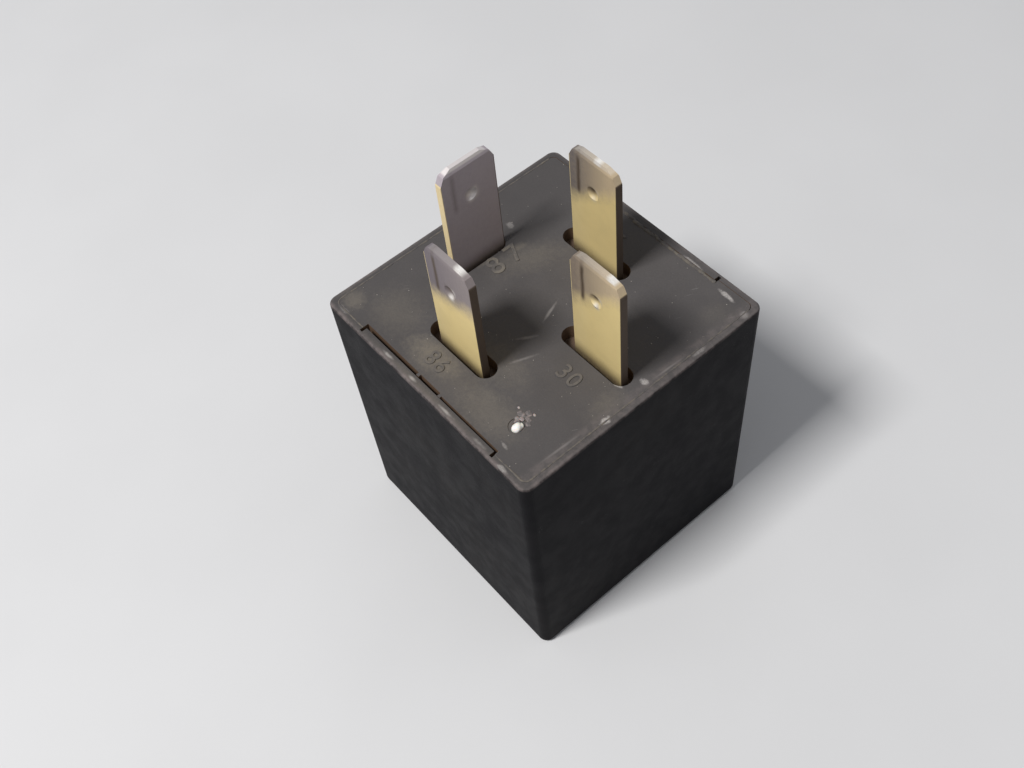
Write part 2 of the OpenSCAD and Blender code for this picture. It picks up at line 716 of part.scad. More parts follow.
module yoke() {
    bend_x = yoke_front - yoke_bend;
    bend_z = spool_z - yoke_bend;
    flat_x0 = core_x - spigot_d / 2 - yoke_lip;
    tab_z = hinge_z + tab_rise;
    color(steel) difference() {
        union() {
            translate([flat_x0, pattern_y - yoke_w / 2, spool_z])
                cube([bend_x - flat_x0 + eps, yoke_w, yoke_t]);
            translate([bend_x, pattern_y, bend_z]) quarter_bend(yoke_bend, yoke_t, yoke_w, 0);
            translate([yoke_front, pattern_y - yoke_w / 2, hinge_z])
                cube([yoke_t, yoke_w, bend_z - hinge_z + eps]);
            for (s = [-1, 1])
                translate([yoke_front, pattern_y + s * (lug_span + lug_w) / 2 - lug_w / 2, hinge_z - lug_h])
                    cube([yoke_t, lug_w, lug_h + eps]);
            hook_tongue(yoke_back - eps, tab_z, tab_t);
        }
        translate([core_x, pattern_y, spool_z - over])
            cylinder(h = yoke_t + 2 * over, d = spigot_d + 2 * fit);
        for (y = foot_rivets_y) translate([foot_rivet_x, y, spool_z])
            rivet_hole(yoke_t, rivet_d, rivet_head_d);
        // window left where the spring tab is struck out
        translate([yoke_front - over, pattern_y - hook_w / 2 - fit, tab_z + tab_t])
            cube([yoke_t + 2 * over, hook_w + 2 * fit, tail_end - yoke_back]);
    }
}

// Notched tongue that a spring loop hooks over, along X at level z
module hook_tongue(x0, z, t) {
    neck_l = spring_wire + hook_gap;
    neck_x = spring_x - neck_l / 2;
    translate([x0, pattern_y - hook_w / 2, z]) cube([neck_x - x0, hook_w, t]);
    translate([neck_x - eps, pattern_y - neck_w / 2, z]) cube([neck_l + 2 * eps, neck_w, t]);
    translate([neck_x + neck_l, pattern_y - hook_w / 2, z])
        cube([tail_end - neck_x - neck_l, hook_w, t]);
}

module armature() {
    rear_margin = 0.6;
    rear_w = lug_span + 2 * lug_w + 2 * rear_margin;
    rear_x = yoke_back + rear_margin;
    step_x = yoke_front - rear_margin - 2 * fit;
    top = hinge_z - fit / 2;
    color(steel) swung_open() difference() {
        union() {
            translate([nose_x, pattern_y - yoke_w / 2, top - arm_t])
                cube([step_x - nose_x, yoke_w, arm_t]);
            translate([step_x - eps, pattern_y - rear_w / 2, top - arm_t])
                cube([rear_x - step_x + eps, rear_w, arm_t]);
            hook_tongue(rear_x - eps, top - arm_t, arm_t);
        }
        for (s = [-1, 1])
            translate([yoke_front - lug_gap, pattern_y + s * (lug_span + lug_w) / 2 - lug_w / 2 - lug_gap,
                    hinge_z - arm_t - over])
                cube([yoke_t + 2 * lug_gap, lug_w + 2 * lug_gap, arm_t + 2 * over]);
        for (s = [-1, 1])
            translate([leaf_rivet_x, pattern_y + s * leaf_rivet_y, top]) mirror([0, 0, 1])
                rivet_hole(arm_t, rivet_d, rivet_head_d);
    }
}

// ---------------------------------------------------------------- contacts

module contact_leaf() {
    leaf_x1 = yoke_front - leaf_short;
    shoulder_x = core_x - leaf_neck;
    taper_x = stop_x1 - stop_l - stop_gap;
    // the tip is round, with its two ends cut off
    tip_cut_x = contact_x - contact_d / 2 - stop_gap;
    color(bronze) swung_open() translate([0, pattern_y, leaf_z - fit / 2]) difference() {
        linear_extrude(leaf_t) {
            polygon([[leaf_x1, -leaf_w / 2], [leaf_x1, leaf_w / 2], [shoulder_x, leaf_w / 2],
                [taper_x, tip_r], [contact_x, tip_r], [contact_x, -tip_r], [taper_x, -tip_r],
                [shoulder_x, -leaf_w / 2]]);
            intersection() {
                translate([contact_x, 0]) circle(tip_r);
                translate([tip_cut_x, -tip_r]) square([contact_d, 2 * tip_r]);
            }
            // ear at one side for the copper braid
            translate([yoke_front - ear_back, 0]) square([ear_w, braid_y - pattern_y + weld_w / 2]);
        }
        for (s = [-1, 1])
            translate([leaf_rivet_x, s * leaf_rivet_y, -1]) cylinder(h = 2, d = rivet_d + 2 * fit);
        translate([contact_x, 0, -1]) cylinder(h = 2, d = shank_d + 2 * fit);
    }
}

module leaf_rivets() {
    color(steel) swung_open() for (s = [-1, 1])
        translate([leaf_rivet_x, pattern_y + s * leaf_rivet_y, hinge_z - fit / 2]) mirror([0, 0, 1])
            flush_rivet(arm_t + leaf_t, rivet_d, rivet_head_d, 0.3);
}

module moving_contact() {
    color(silver) swung_open()
        translate([contact_x, pattern_y, hinge_z - arm_t - fit / 2]) contact_rivet(leaf_t);
}

module fixed_contact() {
    color(silver) translate([contact_x, pattern_y, fixed_foot_z]) mirror([0, 0, 1])
        contact_rivet(blade_t);
}

module terminal_rivets() {
    color(steel) for (y = foot_rivets_y) translate([foot_rivet_x, y, spool_z])
        flush_rivet(yoke_t + blade_t, rivet_d, rivet_head_d, foot_gap);
}

// ---------------------------------------------------------------- spring and leads

module return_spring() {
    loop_r = (loop_d + spring_wire) / 2;
    // how far a loop's middle lies past the edge of the neck that it hangs on
    sag = sqrt(pow(loop_r - spring_wire / 2 - fit, 2) - pow(neck_w / 2, 2));
    tail_rise = (spring_x - yoke_back) * tan(open_deg);
    low_z = hinge_z - arm_t + tail_rise + sag;
    high_z = hinge_z + tab_rise + tab_t - sag;
    // the coils close in to this radius over half a turn at each end
    end_r = spring_d * 0.02;
    body_z0 = low_z + loop_r;
    body_h = high_z - loop_r - body_z0;
    spin = 360 * spring_turns;
    steps = 12;
    // the loops lie across Y, the coils run between them
    low_loop = [for (i = [0:9]) let (a = 150 + 300 * i / 10)
        [spring_x, pattern_y + loop_r * cos(a), low_z + loop_r * sin(a)]];
    coils = [for (i = [0:spring_turns * steps])
        let (f = i / (spring_turns * steps), a = 90 + spin * f,
                ease = min(i, spring_turns * steps - i) * 2 / steps,
                r = min(spring_d / 2, end_r + ease * spring_d / 2))
            [spring_x + r * cos(a), pattern_y + r * sin(a), body_z0 + body_h * f]];
    high_loop = [for (i = [1:10]) let (a = -90 + 300 * i / 10)
        [spring_x, pattern_y + loop_r * cos(a), high_z + loop_r * sin(a)]];
    color(steel) wire(concat(low_loop, coils, high_loop), spring_wire, 6, [1, 0, 0]);
}

module copper_braid() {
    start_x = yoke_front - braid_reach;
    turn_x = braid_x - braid_bend;
    // the weld's top lies just under the leaf with the contacts open
    weld_top = leaf_z - (yoke_back - start_x + weld_l) * tan(open_deg) - fit;
    route = concat([[start_x, braid_y, braid_low]],
        arc([turn_x, braid_y, braid_low + braid_bend], braid_bend, -90, 0, 6),
        [[braid_x, braid_y, braid_top]]);
    color(copper) {
        wire(route, braid_d, 8, [0, 1, 0]);
        // the braid's ends pressed flat
        translate([start_x - weld_l, braid_y - weld_w / 2, weld_top - weld_t])
            cube([weld_l + weld_t, weld_w, weld_t]);
        translate([yoke_back, braid_y - weld_w / 2, braid_top - eps])
            cube([braid_x - yoke_back + weld_t / 2, weld_w, weld_l]);
    }
}

// Coil wire from the winding to a post and around it; side is 1 for 85 and -1 for 86
module coil_lead(side) {
    off = coil_pitch / 2;
    clear = fit / 2;
    wrap_r = norm([post_w, blade_t]) / 2 + wire_d / 2 + clear;
    top_z = spool_z - flange_t - 2 * wire_d;
    run_r = coil_d / 2 + wire_d / 2 + clear;
    pitch = wire_d * 1.4;
    steps = 12;
    // the wire leaves the winding on the tangent that meets the first wrap
    first = [pattern_x + wrap_r - core_x, off];
    leave = atan2(first[1], first[0]) - acos(run_r / norm(first));
    run = [for (i = [0:4]) let (a = leave - 24 + 6 * i)
        [core_x + run_r * cos(a), pattern_y + side * run_r * sin(a), top_z]];
    wraps = [for (i = [0:wrap_turns * steps]) let (a = 360 * i / steps)
        [pattern_x + wrap_r * cos(a), pattern_y + side * (off + wrap_r * sin(a)), top_z - pitch * i / steps]];
    color(copper) wire(concat(run, wraps), wire_d, 6, [0, 0, 1]);
}

module coil_lead_85() {
    coil_lead(1);
}

module coil_lead_86() {
    coil_lead(-1);
}

cover();
base_plate();
terminal_30();
terminal_87();
terminal_85();
terminal_86();
bobbin();
coil_winding();
coil_core();
yoke();
armature();
contact_leaf();
leaf_rivets();
moving_contact();
fixed_contact();
terminal_rivets();
return_spring();
copper_braid();
coil_lead_85();
coil_lead_86();
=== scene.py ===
import math
import random
from typing import NamedTuple

import bmesh
import bpy
from mathutils import Matrix, Vector, noise


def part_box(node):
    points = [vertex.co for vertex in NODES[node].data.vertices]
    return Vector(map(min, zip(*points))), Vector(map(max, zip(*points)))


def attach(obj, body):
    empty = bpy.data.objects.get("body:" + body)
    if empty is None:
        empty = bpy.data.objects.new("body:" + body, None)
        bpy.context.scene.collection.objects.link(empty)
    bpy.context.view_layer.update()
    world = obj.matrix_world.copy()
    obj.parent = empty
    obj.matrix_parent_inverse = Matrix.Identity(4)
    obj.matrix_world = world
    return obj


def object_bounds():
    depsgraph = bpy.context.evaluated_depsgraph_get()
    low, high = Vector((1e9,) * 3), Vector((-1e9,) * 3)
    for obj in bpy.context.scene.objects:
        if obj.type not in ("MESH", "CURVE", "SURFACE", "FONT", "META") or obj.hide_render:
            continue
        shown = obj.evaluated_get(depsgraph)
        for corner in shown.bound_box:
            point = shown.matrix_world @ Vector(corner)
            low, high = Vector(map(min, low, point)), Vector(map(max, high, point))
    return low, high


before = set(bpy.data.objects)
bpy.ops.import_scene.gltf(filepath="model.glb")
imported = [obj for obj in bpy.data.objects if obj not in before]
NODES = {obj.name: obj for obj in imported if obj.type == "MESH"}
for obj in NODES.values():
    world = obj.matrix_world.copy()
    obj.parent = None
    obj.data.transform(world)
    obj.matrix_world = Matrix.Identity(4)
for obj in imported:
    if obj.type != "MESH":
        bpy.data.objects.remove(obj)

bl_info = {
    "name": "Plug-in Relay Dressing",
    "version": (1, 0, 0),
    "blender": (4, 5, 0),
    "location": "View3D > Sidebar > Relay",
    "description": "Finishes, moulded numbers, wear, dust and studio for a four-blade plug-in relay",
    "category": "Object",
}

MM = 0.001
CAD_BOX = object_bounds()
# From the cover's edge to the vent's middle
VENT_INSET = 4.2 * MM
# In mm: past SLIT_SIDE a point lies on a latch side; the slits' ends along X
SLIT_SIDE = 13.2
OPEN_SLIT = 9.8
PACKED_SLIT = (-9.6, 9.3)
HOUSING = "housing"
MOVING_ARM = "moving_arm"


# ---------------------------------------------------------------- places taken from the frame

def plate_top():
    """Level of the base plate's top face: the cover's rim."""
    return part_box("cover")[1].z


def blade_middle(node):
    """Middle of a blade where it leaves the base plate, found from its tip."""
    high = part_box(node)[1]
    tips = [v.co for v in NODES[node].data.vertices if v.co.z > high.z - 1.5 * MM]
    return Vector((sum(c.x for c in tips) / len(tips), sum(c.y for c in tips) / len(tips), plate_top()))


# ---------------------------------------------------------------- settings

def colour(name, default, text):
    return bpy.props.FloatVectorProperty(name=name, description=text, default=default, size=3,
                                         min=0.0, max=1.0, subtype="COLOR")


def length(name, default, text):
    return bpy.props.FloatProperty(name=name, description=text, default=default, min=0.0,
                                   unit="LENGTH", subtype="DISTANCE", precision=5)


def factor(name, default, text, top=1.0):
    return bpy.props.FloatProperty(name=name, description=text, default=default, min=0.0, max=top,
                                   subtype="FACTOR")


def angle(name, default, text):
    return bpy.props.FloatProperty(name=name, description=text, default=math.radians(default),
                                   unit="ROTATION", subtype="ANGLE")


class RelayPlastic(bpy.types.PropertyGroup):
    """Colours of the moulded cover and base plate, and the dirt on them"""
    cover_black: colour("Cover black", (0.0050, 0.0047, 0.0062), "Moulded black of the cover's sides")
    plate_black: colour("Plate black", (0.030, 0.028, 0.029), "Moulded black of the base plate under its dust")
    dust: colour("Dust", (0.088, 0.082, 0.082), "Grey film on faces that look up")
    beige: colour("Beige dust", (0.180, 0.160, 0.134), "Thicker warm dust, in drifts")
    # The scuff colour also paints highlights: on the ridge by terminal 85's slit and a pale line along the edge of
    # terminal 86's shadow
    scuff_and_highlight: colour("Scuff", (0.36, 0.34, 0.33), "Pale rubbed plastic at scratches")
    edge_wear: colour("Edge wear", (0.190, 0.160, 0.155), "Brownish rubbed plastic along the rim's outer edge")
    pocket_dirt: colour("Pocket dirt", (0.150, 0.098, 0.066), "Brown dirt in the pockets and slits")
    seam_bead: length("Seam bead", 0.10 * MM, "Half width of the dust in the seam around the plate")
    slit_bead: length("Slit bead", 0.20 * MM, "Half width of the dust in the slit by terminal 85")
    speck_size: length("Speck size", 0.07 * MM, "Widest of the dust specks on the base plate")
    speck_density: bpy.props.FloatProperty(name="Speck density", default=0.7e6, min=0.0,
                                           description="Dust specks on each square metre of plate")


class RelayMarks(bpy.types.PropertyGroup):
    """Raised terminal numbers on the base plate, and the sealed vent"""
    digit_height: length("Digit height", 1.75 * MM, "Height of the moulded terminal numbers")
    digit_raise: length("Digit raise", 0.09 * MM, "How far the numbers stand above the plate")
    seal_white: colour("Vent seal", (0.86, 0.84, 0.80), "Bare plastic of the vent stub that was melted shut")


class RelayMetal(bpy.types.PropertyGroup):
    """Colours of the blades and of the metal inside"""
    brass: colour("Brass", (0.84, 0.670, 0.315), "Brass rubbed bare, low on the blades")
    olive_film: colour("Olive film", (0.20, 0.160, 0.128), "Thick tarnish on the side that the socket missed")
    tan_film: colour("Tan film", (0.50, 0.395, 0.260), "Thin tarnish that still shows the brass")
    grey_film: colour("Grey film", (0.150, 0.128, 0.142), "Dusty film near the tip of terminal 86")
    dull_film: colour("Dull film", (0.385, 0.340, 0.372), "Film that covers terminal 87")
    # Painted highlight colour: the glints on the blades' tips and the shine in their detents
    bright: colour("Bright metal", (0.88, 0.85, 0.80), "Tips and contact spots rubbed clean")
    scratch_width: length("Scratch width", 0.42 * MM, "Width of the mark that a socket spring left")
    scratch_length: length("Scratch length", 5.6 * MM, "Length of that mark, from the tip")
    # Painted shade on the blades' narrow faces that look away from the key lamp
    flank_shade: colour("Flank grime", (0.085, 0.064, 0.050), "Dirt on the narrow faces that look right")
    # Dark dirt, and painted shade at the blades' feet and in the detents
    grime_and_shade: colour("Grime", (0.066, 0.044, 0.028), "Dark dirt at the blades' feet and in the socket marks")
    iron: colour("Plated iron", (0.53, 0.53, 0.52), "Zinc-plated yoke, core and armature")
    copper: colour("Copper", (0.62, 0.28, 0.13), "Bare copper of the braid")
    enamel: colour("Enamelled wire", (0.42, 0.12, 0.045), "Copper seen through its enamel")
    silver: colour("Contact silver", (0.80, 0.79, 0.76), "Silver alloy of the contact faces")


class RelayStage(bpy.types.PropertyGroup):
    """Studio: floor, lights and camera"""
    floor_tone: colour("Floor", (0.66, 0.665, 0.68), "Pale plain floor")
    azimuth: angle("Azimuth", 55.98, "Camera's turn around the relay")
    elevation: angle("Elevation", 54.26, "Camera's height angle")
    roll: angle("Roll", -7.82, "Camera's tilt about its own axis")
    distance: length("Distance", 132.78 * MM, "Camera to its target")
    lens: bpy.props.FloatProperty(name="Lens", description="Focal length on a 36 mm wide sensor",
                                  default=42.95, min=1.0, unit="CAMERA")
    key_power: bpy.props.FloatProperty(name="Key light", default=3.6, min=0.0, unit="POWER",
                                       description="Soft lamp on the side of terminal 86")
    key_size: length("Key size", 0.13, "Width of the lamp")
    key_distance: length("Key distance", 0.60, "Lamp to relay")
    world_level: factor("World level", 0.30, "Strength of the even light all round", 2.0)


# ---------------------------------------------------------------- shader building

class Shader:
    """A material under construction: it holds the node tree and a few shorthands."""

    def __init__(self, name):
        self.material = bpy.data.materials.new(name)
        self.material.use_nodes = True
        self.tree = self.material.node_tree
        self.tree.nodes.clear()
        self.output = self.tree.nodes.new("ShaderNodeOutputMaterial")
        self.surface = self.tree.nodes.new("ShaderNodeBsdfPrincipled")
        self.tree.links.new(self.surface.outputs["BSDF"], self.output.inputs["Surface"])
        self.coords = self.tree.nodes.new("ShaderNodeTexCoord").outputs["Object"]

    def node(self, kind, **settings):
        made = self.tree.nodes.new("ShaderNode" + kind)
        for key, value in settings.items():
            setattr(made, key, value)
        return made

    def feed(self, socket, value):
        """Links a socket to a socket, or sets it to a constant."""
        if isinstance(value, bpy.types.NodeSocket):
            self.tree.links.new(value, socket)
        elif isinstance(value, (tuple, list)) or hasattr(value, "__len__"):
            value = tuple(value)
            socket.default_value = value + (1.0,) if len(socket.default_value) == 4 and len(value) == 3 else value
        else:
            socket.default_value = value

    def math(self, operation, *values, clamp=False):
        made = self.node("Math", operation=operation, use_clamp=clamp)
        for socket, value in zip(made.inputs, values):
            self.feed(socket, value)
        return made.outputs[0]

    def times(self, *values):
        out = values[0]
        for value in values[1:]:
            out = self.math("MULTIPLY", out, value)
        return out

    def plus(self, *values):
        out = values[0]
        for value in values[1:]:
            out = self.math("ADD", out, value)
        return out

    def invert(self, value):
        return self.math("SUBTRACT", 1.0, value, clamp=True)

    def highest(self, *values):
        out = values[0]
        for value in values[1:]:
            out = self.math("MAXIMUM", out, value)
        return out

    def span(self, value, low, high, to_low=0.0, to_high=1.0, smooth=True):
        """Maps low..high onto to_low..to_high, and holds the ends."""
        made = self.node("MapRange", interpolation_type="SMOOTHSTEP" if smooth else "LINEAR")
        for socket, number in zip(("Value", "From Min", "From Max", "To Min", "To Max"),
                                  (value, low, high, to_low, to_high)):
            self.feed(made.inputs[socket], number)
        return made.outputs[0]

    def placed(self, place=(0, 0, 0), turn=(0, 0, 0), scale=(1, 1, 1), vector=None):
        """Object coordinates seen from a place, turned, and divided by a size."""
        made = self.node("Mapping", vector_type="TEXTURE")
        self.feed(made.inputs["Vector"], vector if vector is not None else self.coords)
        self.feed(made.inputs["Location"], tuple(place))
        self.feed(made.inputs["Rotation"], tuple(turn))
        self.feed(made.inputs["Scale"], tuple(scale))
        return made.outputs[0]

    def noise(self, size, detail=4.0, rough=0.55, vector=None, distortion=0.0):
        """Noise between 0 and 1 whose features are about size metres wide."""
        made = self.node("TexNoise", noise_dimensions="3D")
        self.feed(made.inputs["Vector"], vector if vector is not None else self.coords)
        self.feed(made.inputs["Scale"], 1.0 / size)
        self.feed(made.inputs["Detail"], detail)
        self.feed(made.inputs["Roughness"], rough)
        self.feed(made.inputs["Distortion"], distortion)
        return made.outputs["Fac"]

    def mix(self, share, a, b, kind="MIX"):
        made = self.node("Mix", data_type="RGBA", blend_type=kind, clamp_factor=True)
        self.feed(made.inputs["Factor"], share)
        self.feed(made.inputs["A"], a)
        self.feed(made.inputs["B"], b)
        return made.outputs["Result"]

    def axes(self, vector=None):
        made = self.node("SeparateXYZ")
        self.feed(made.inputs[0], vector if vector is not None else self.coords)
        return made.outputs

    def facing_up(self):
        """1 on faces that look up, 0 on upright ones."""
        normal = self.node("NewGeometry").outputs["Normal"]
        return self.span(self.axes(normal)[2], 0.45, 0.9)

    def around(self, value, middle, reach):
        """1 at the middle value, falling to 0 at reach either side."""
        return self.span(self.math("ABSOLUTE", self.math("SUBTRACT", value, middle)), 0.0, reach, 1.0, 0.0)

    def spot(self, place, size, turn=0.0, ragged=0.4, soft=0.45):
        """Soft ragged patch at a place on the plate; size is its length and width."""
        here = self.placed((place[0], place[1], plate_top()), (0, 0, math.radians(turn)),
                           (size[0] / 2, size[1] / 2, 1.0 * MM))
        made = self.node("VectorMath", operation="LENGTH")
        self.feed(made.inputs[0], here)
        wander = self.math("SUBTRACT", self.noise(0.45 * MM, 4.0, 0.6), 0.5)
        away = self.math("MULTIPLY_ADD", wander, 2.0 * ragged, made.outputs["Value"])
        return self.span(away, 1.0 - soft, 1.0 + soft * 0.3, 1.0, 0.0)

    def spots(self, marks, **shape):
        """The strongest of several patches at each point."""
        return self.highest(*(self.times(self.spot((x * MM, y * MM), (long * MM, wide * MM), turn, **shape), strength)
                              for x, y, long, wide, turn, strength in marks))

    def bump(self, height, depth, strength=1.0, normal=None):
        """Bump of a real depth in metres."""
        made = self.node("Bump")
        self.feed(made.inputs["Height"], height)
        self.feed(made.inputs["Distance"], depth)
        self.feed(made.inputs["Strength"], strength)
        if normal is not None:
            self.feed(made.inputs["Normal"], normal)
        return made.outputs["Normal"]

    def finish(self, **sockets):
        """Sets the main shader's sockets by their names, with underscores for spaces."""
        for key, value in sockets.items():
            self.feed(self.surface.inputs[key.replace("_", " ")], value)
        return self.material


# ---------------------------------------------------------------- plastic

def scuff_lines(make, size, stretch, share, turn=0.0):
    """Fine straight scratches: noise drawn out along one direction and cut to thin lines."""
    run = make.placed((0, 0, 0), (0, 0, math.radians(turn)), (stretch, 1.0, 1.0))
    return make.span(make.noise(size, 2.0, 0.5, run), 1.0 - share, 1.0 - share + 0.03)


def dusty_plastic(name, black, props):
    """Black moulded plastic with an even grey film on top, drifts of beige dust, and rubbed edges."""
    make = Shader(name)
    top = plate_top()
    half = CAD_BOX[1].x
    x, y, z = make.axes()
    side = make.highest(make.math("ABSOLUTE", x), make.math("ABSOLUTE", y))
    up = make.facing_up()
    broad = make.noise(9.0 * MM, 2.0, 0.5)
    cloud = make.noise(2.4 * MM, 4.0, 0.6)
    grain = make.noise(0.16 * MM, 3.0, 0.7)
    # the film lies on the top face, thinner down in the pockets
    level = make.span(z, top - 1.2 * MM, top - 0.05 * MM, 0.25, 1.0)
    film = make.times(up, level, make.span(broad, 0.30, 0.70, 0.76, 1.0), make.span(cloud, 0.25, 0.75, 0.88, 1.05),
                      make.span(grain, 0.25, 0.75, 0.88, 1.10), make.span(x, -10.0 * MM, -3.0 * MM, 0.84, 1.0))
    base = make.mix(film, black, props.dust)
    drift = make.times(make.spots(DRIFTS, ragged=0.55, soft=0.85), up, make.span(grain, 0.2, 0.7, 0.65, 1.0),
                       make.span(cloud, 0.3, 0.7, 0.7, 1.0))
    base = make.mix(drift, base, props.beige)
    # upright faces: a faint bloom, and dust caught along the foot
    bloom = make.times(make.invert(up), make.span(make.noise(11 * MM, 3.0, 0.55), 0.35, 0.75, 0.003, 0.024))
    base = make.mix(bloom, base, props.beige)
    sunk = make.times(make.span(side, half - 0.50 * MM, half - 0.35 * MM, 1.0, 0.0),
                      make.invert(make.times(up, level)), make.span(z, top - 2.6 * MM, top - 1.9 * MM),
                      make.span(grain, 0.2, 0.7, 0.70, 1.0))
    base = make.mix(sunk, base, props.pocket_dirt)
    # fine straight handling scratches
    lines = make.highest(scuff_lines(make, 0.10 * MM, 22.0, 0.29, 63.0),
                         scuff_lines(make, 0.08 * MM, 26.0, 0.27, -38.0))
    lines = make.times(lines, make.span(make.noise(3.6 * MM, 2.0, 0.5), 0.52, 0.70), 0.30)
    # the rim: its outer edge is rubbed brown, and the side of terminal 30 is mottled
    mottle = make.noise(0.9 * MM, 4.0, 0.65)
    rim = make.times(make.span(side, half - 0.55 * MM, half - 0.15 * MM),
                     make.span(z, top - 0.45 * MM, top - 0.1 * MM),
                     make.span(mottle, 0.30, 0.70, 0.12, 0.75), make.span(y, -0.3 * half, -0.9 * half, 0.60, 1.0))
    band = make.times(make.span(x, half - 1.9 * MM, half - 1.3 * MM), up, make.span(mottle, 0.35, 0.65, 0.04, 0.30))
    base = make.mix(make.highest(rim, band), base, props.edge_wear)
    # rubbed places and scratches, with painted highlights on the ridge by terminal 85's slit and along the edge of
    # terminal 86's shadow
    rubs_and_highlights = make.highest(lines, make.times(make.spots(RUBS_AND_HIGHLIGHTS, ragged=0.8, soft=0.6), up,
                                          make.span(grain, 0.25, 0.65, 0.50, 1.0)),
                        make.times(make.spots(STREAKS_AND_HIGHLIGHT, ragged=0.6, soft=0.9), up))
    base = make.mix(rubs_and_highlights, base, props.scuff_and_highlight)
    rough = make.plus(make.span(film, 0.0, 0.9, 0.46, 0.80), make.span(cloud, 0.3, 0.7, -0.04, 0.05))
    normal = make.bump(make.noise(0.55 * MM, 2.0, 0.5), 0.010 * MM, 0.6)
    normal = make.bump(grain, 0.012 * MM, 0.7, normal)
    normal = make.bump(lines, -0.008 * MM, 0.5, normal)
    return make.finish(Base_Color=base, Roughness=rough, Normal=normal,
                       Specular_IOR_Level=make.span(up, 0.0, 1.0, 0.03, 0.20))


def moulded_number_finish(name, worn_share, props):
    """Raised numbers: the same plastic, dusted, and rubbed pale on the crests."""
    make = Shader(name)
    top = plate_top()
    z = make.axes()[2]
    cloud = make.noise(0.9 * MM, 4.0, 0.6)
    crest = make.span(z, top + 0.02 * MM, top + 0.06 * MM)
    worn = make.times(crest, make.span(cloud, 0.30, 0.65, 0.1, 1.0), worn_share)
    base = make.mix(make.span(make.noise(0.5 * MM, 4.0, 0.6), 0.3, 0.7, 0.8, 1.0), props.plate_black, props.dust)
    base = make.mix(worn, base, props.beige)
    normal = make.bump(make.noise(0.12 * MM, 3.0, 0.7), 0.012 * MM, 0.8)
    return make.finish(Base_Color=base, Roughness=make.span(worn, 0.0, 1.0, 0.78, 0.60), Normal=normal,
                       Specular_IOR_Level=0.25)


def melted_plastic_finish(name, tone):
    """Bare plastic of the vent stub that was melted shut."""
    make = Shader(name)
    mottle = make.noise(0.30 * MM, 4.0, 0.6)
    dirt = make.span(make.noise(0.55 * MM, 5.0, 0.68), 0.55, 0.75)
    base = make.mix(make.times(dirt, 0.55), tone, (0.25, 0.22, 0.20))
    base = make.mix(make.span(mottle, 0.3, 0.7, 0.0, 0.22), base, tuple(0.7 * c for c in tone))
    normal = make.bump(mottle, 0.03 * MM, 0.7)
    return make.finish(Base_Color=base, Roughness=make.span(mottle, 0.3, 0.7, 0.28, 0.46), Normal=normal,
                       Subsurface_Weight=0.15, Subsurface_Scale=0.0003)


def scar_finish(props):
    """Rough greyish plastic beside the melted vent."""
    make = Shader("vent_scar")
    mottle = make.noise(0.25 * MM, 5.0, 0.7)
    base = make.mix(make.span(mottle, 0.40, 0.62), props.dust, (0.21, 0.175, 0.17))
    normal = make.bump(mottle, 0.05 * MM, 0.9)
    return make.finish(Base_Color=base, Roughness=0.7, Normal=normal)


def caked_dust_finish(props):
    """Dust packed into the seam around the base plate."""
    make = Shader("caked_dust")
    mottle = make.noise(0.45 * MM, 4.0, 0.65)
    base = make.mix(make.span(mottle, 0.35, 0.70), props.dust, tuple(0.85 * c for c in props.beige))
    normal = make.bump(make.noise(0.12 * MM, 3.0, 0.7), 0.02 * MM, 0.8)
    return make.finish(Base_Color=base, Roughness=0.85, Normal=normal, Specular_IOR_Level=0.2)


def speck_finish():
    """Dust specks: pale and dark grains."""
    make = Shader("dust_specks")
    tone = make.noise(0.8 * MM, 2.0, 0.5)
    base = make.mix(make.span(tone, 0.42, 0.58), (0.070, 0.064, 0.060), (0.30, 0.28, 0.25))
    normal = make.bump(make.noise(0.03 * MM, 2.0, 0.6), 0.01 * MM, 0.8)
    return make.finish(Base_Color=base, Roughness=0.9, Normal=normal)


# ---------------------------------------------------------------- metal

class BladeLook(NamedTuple):
    """What sets one blade's surface apart; lengths run to the right of someone who faces the blade."""
    node: str
    seed: int
    turn: float          # about Z
    left: tuple          # film at the left edge
    right: tuple         # film at the right edge
    film_from: float     # height of the film's edge above the plate, mid-blade
    film_slope: float    # climb of that edge across the blade
    least_film: float    # film left on the low part
    mark_at: float       # place of the socket's mark
    glint_at: float      # painted glint on the tip
    tip_shine: float     # painted sheen along the rest of the tip
    dent_highlight: float    # painted highlight in the detent
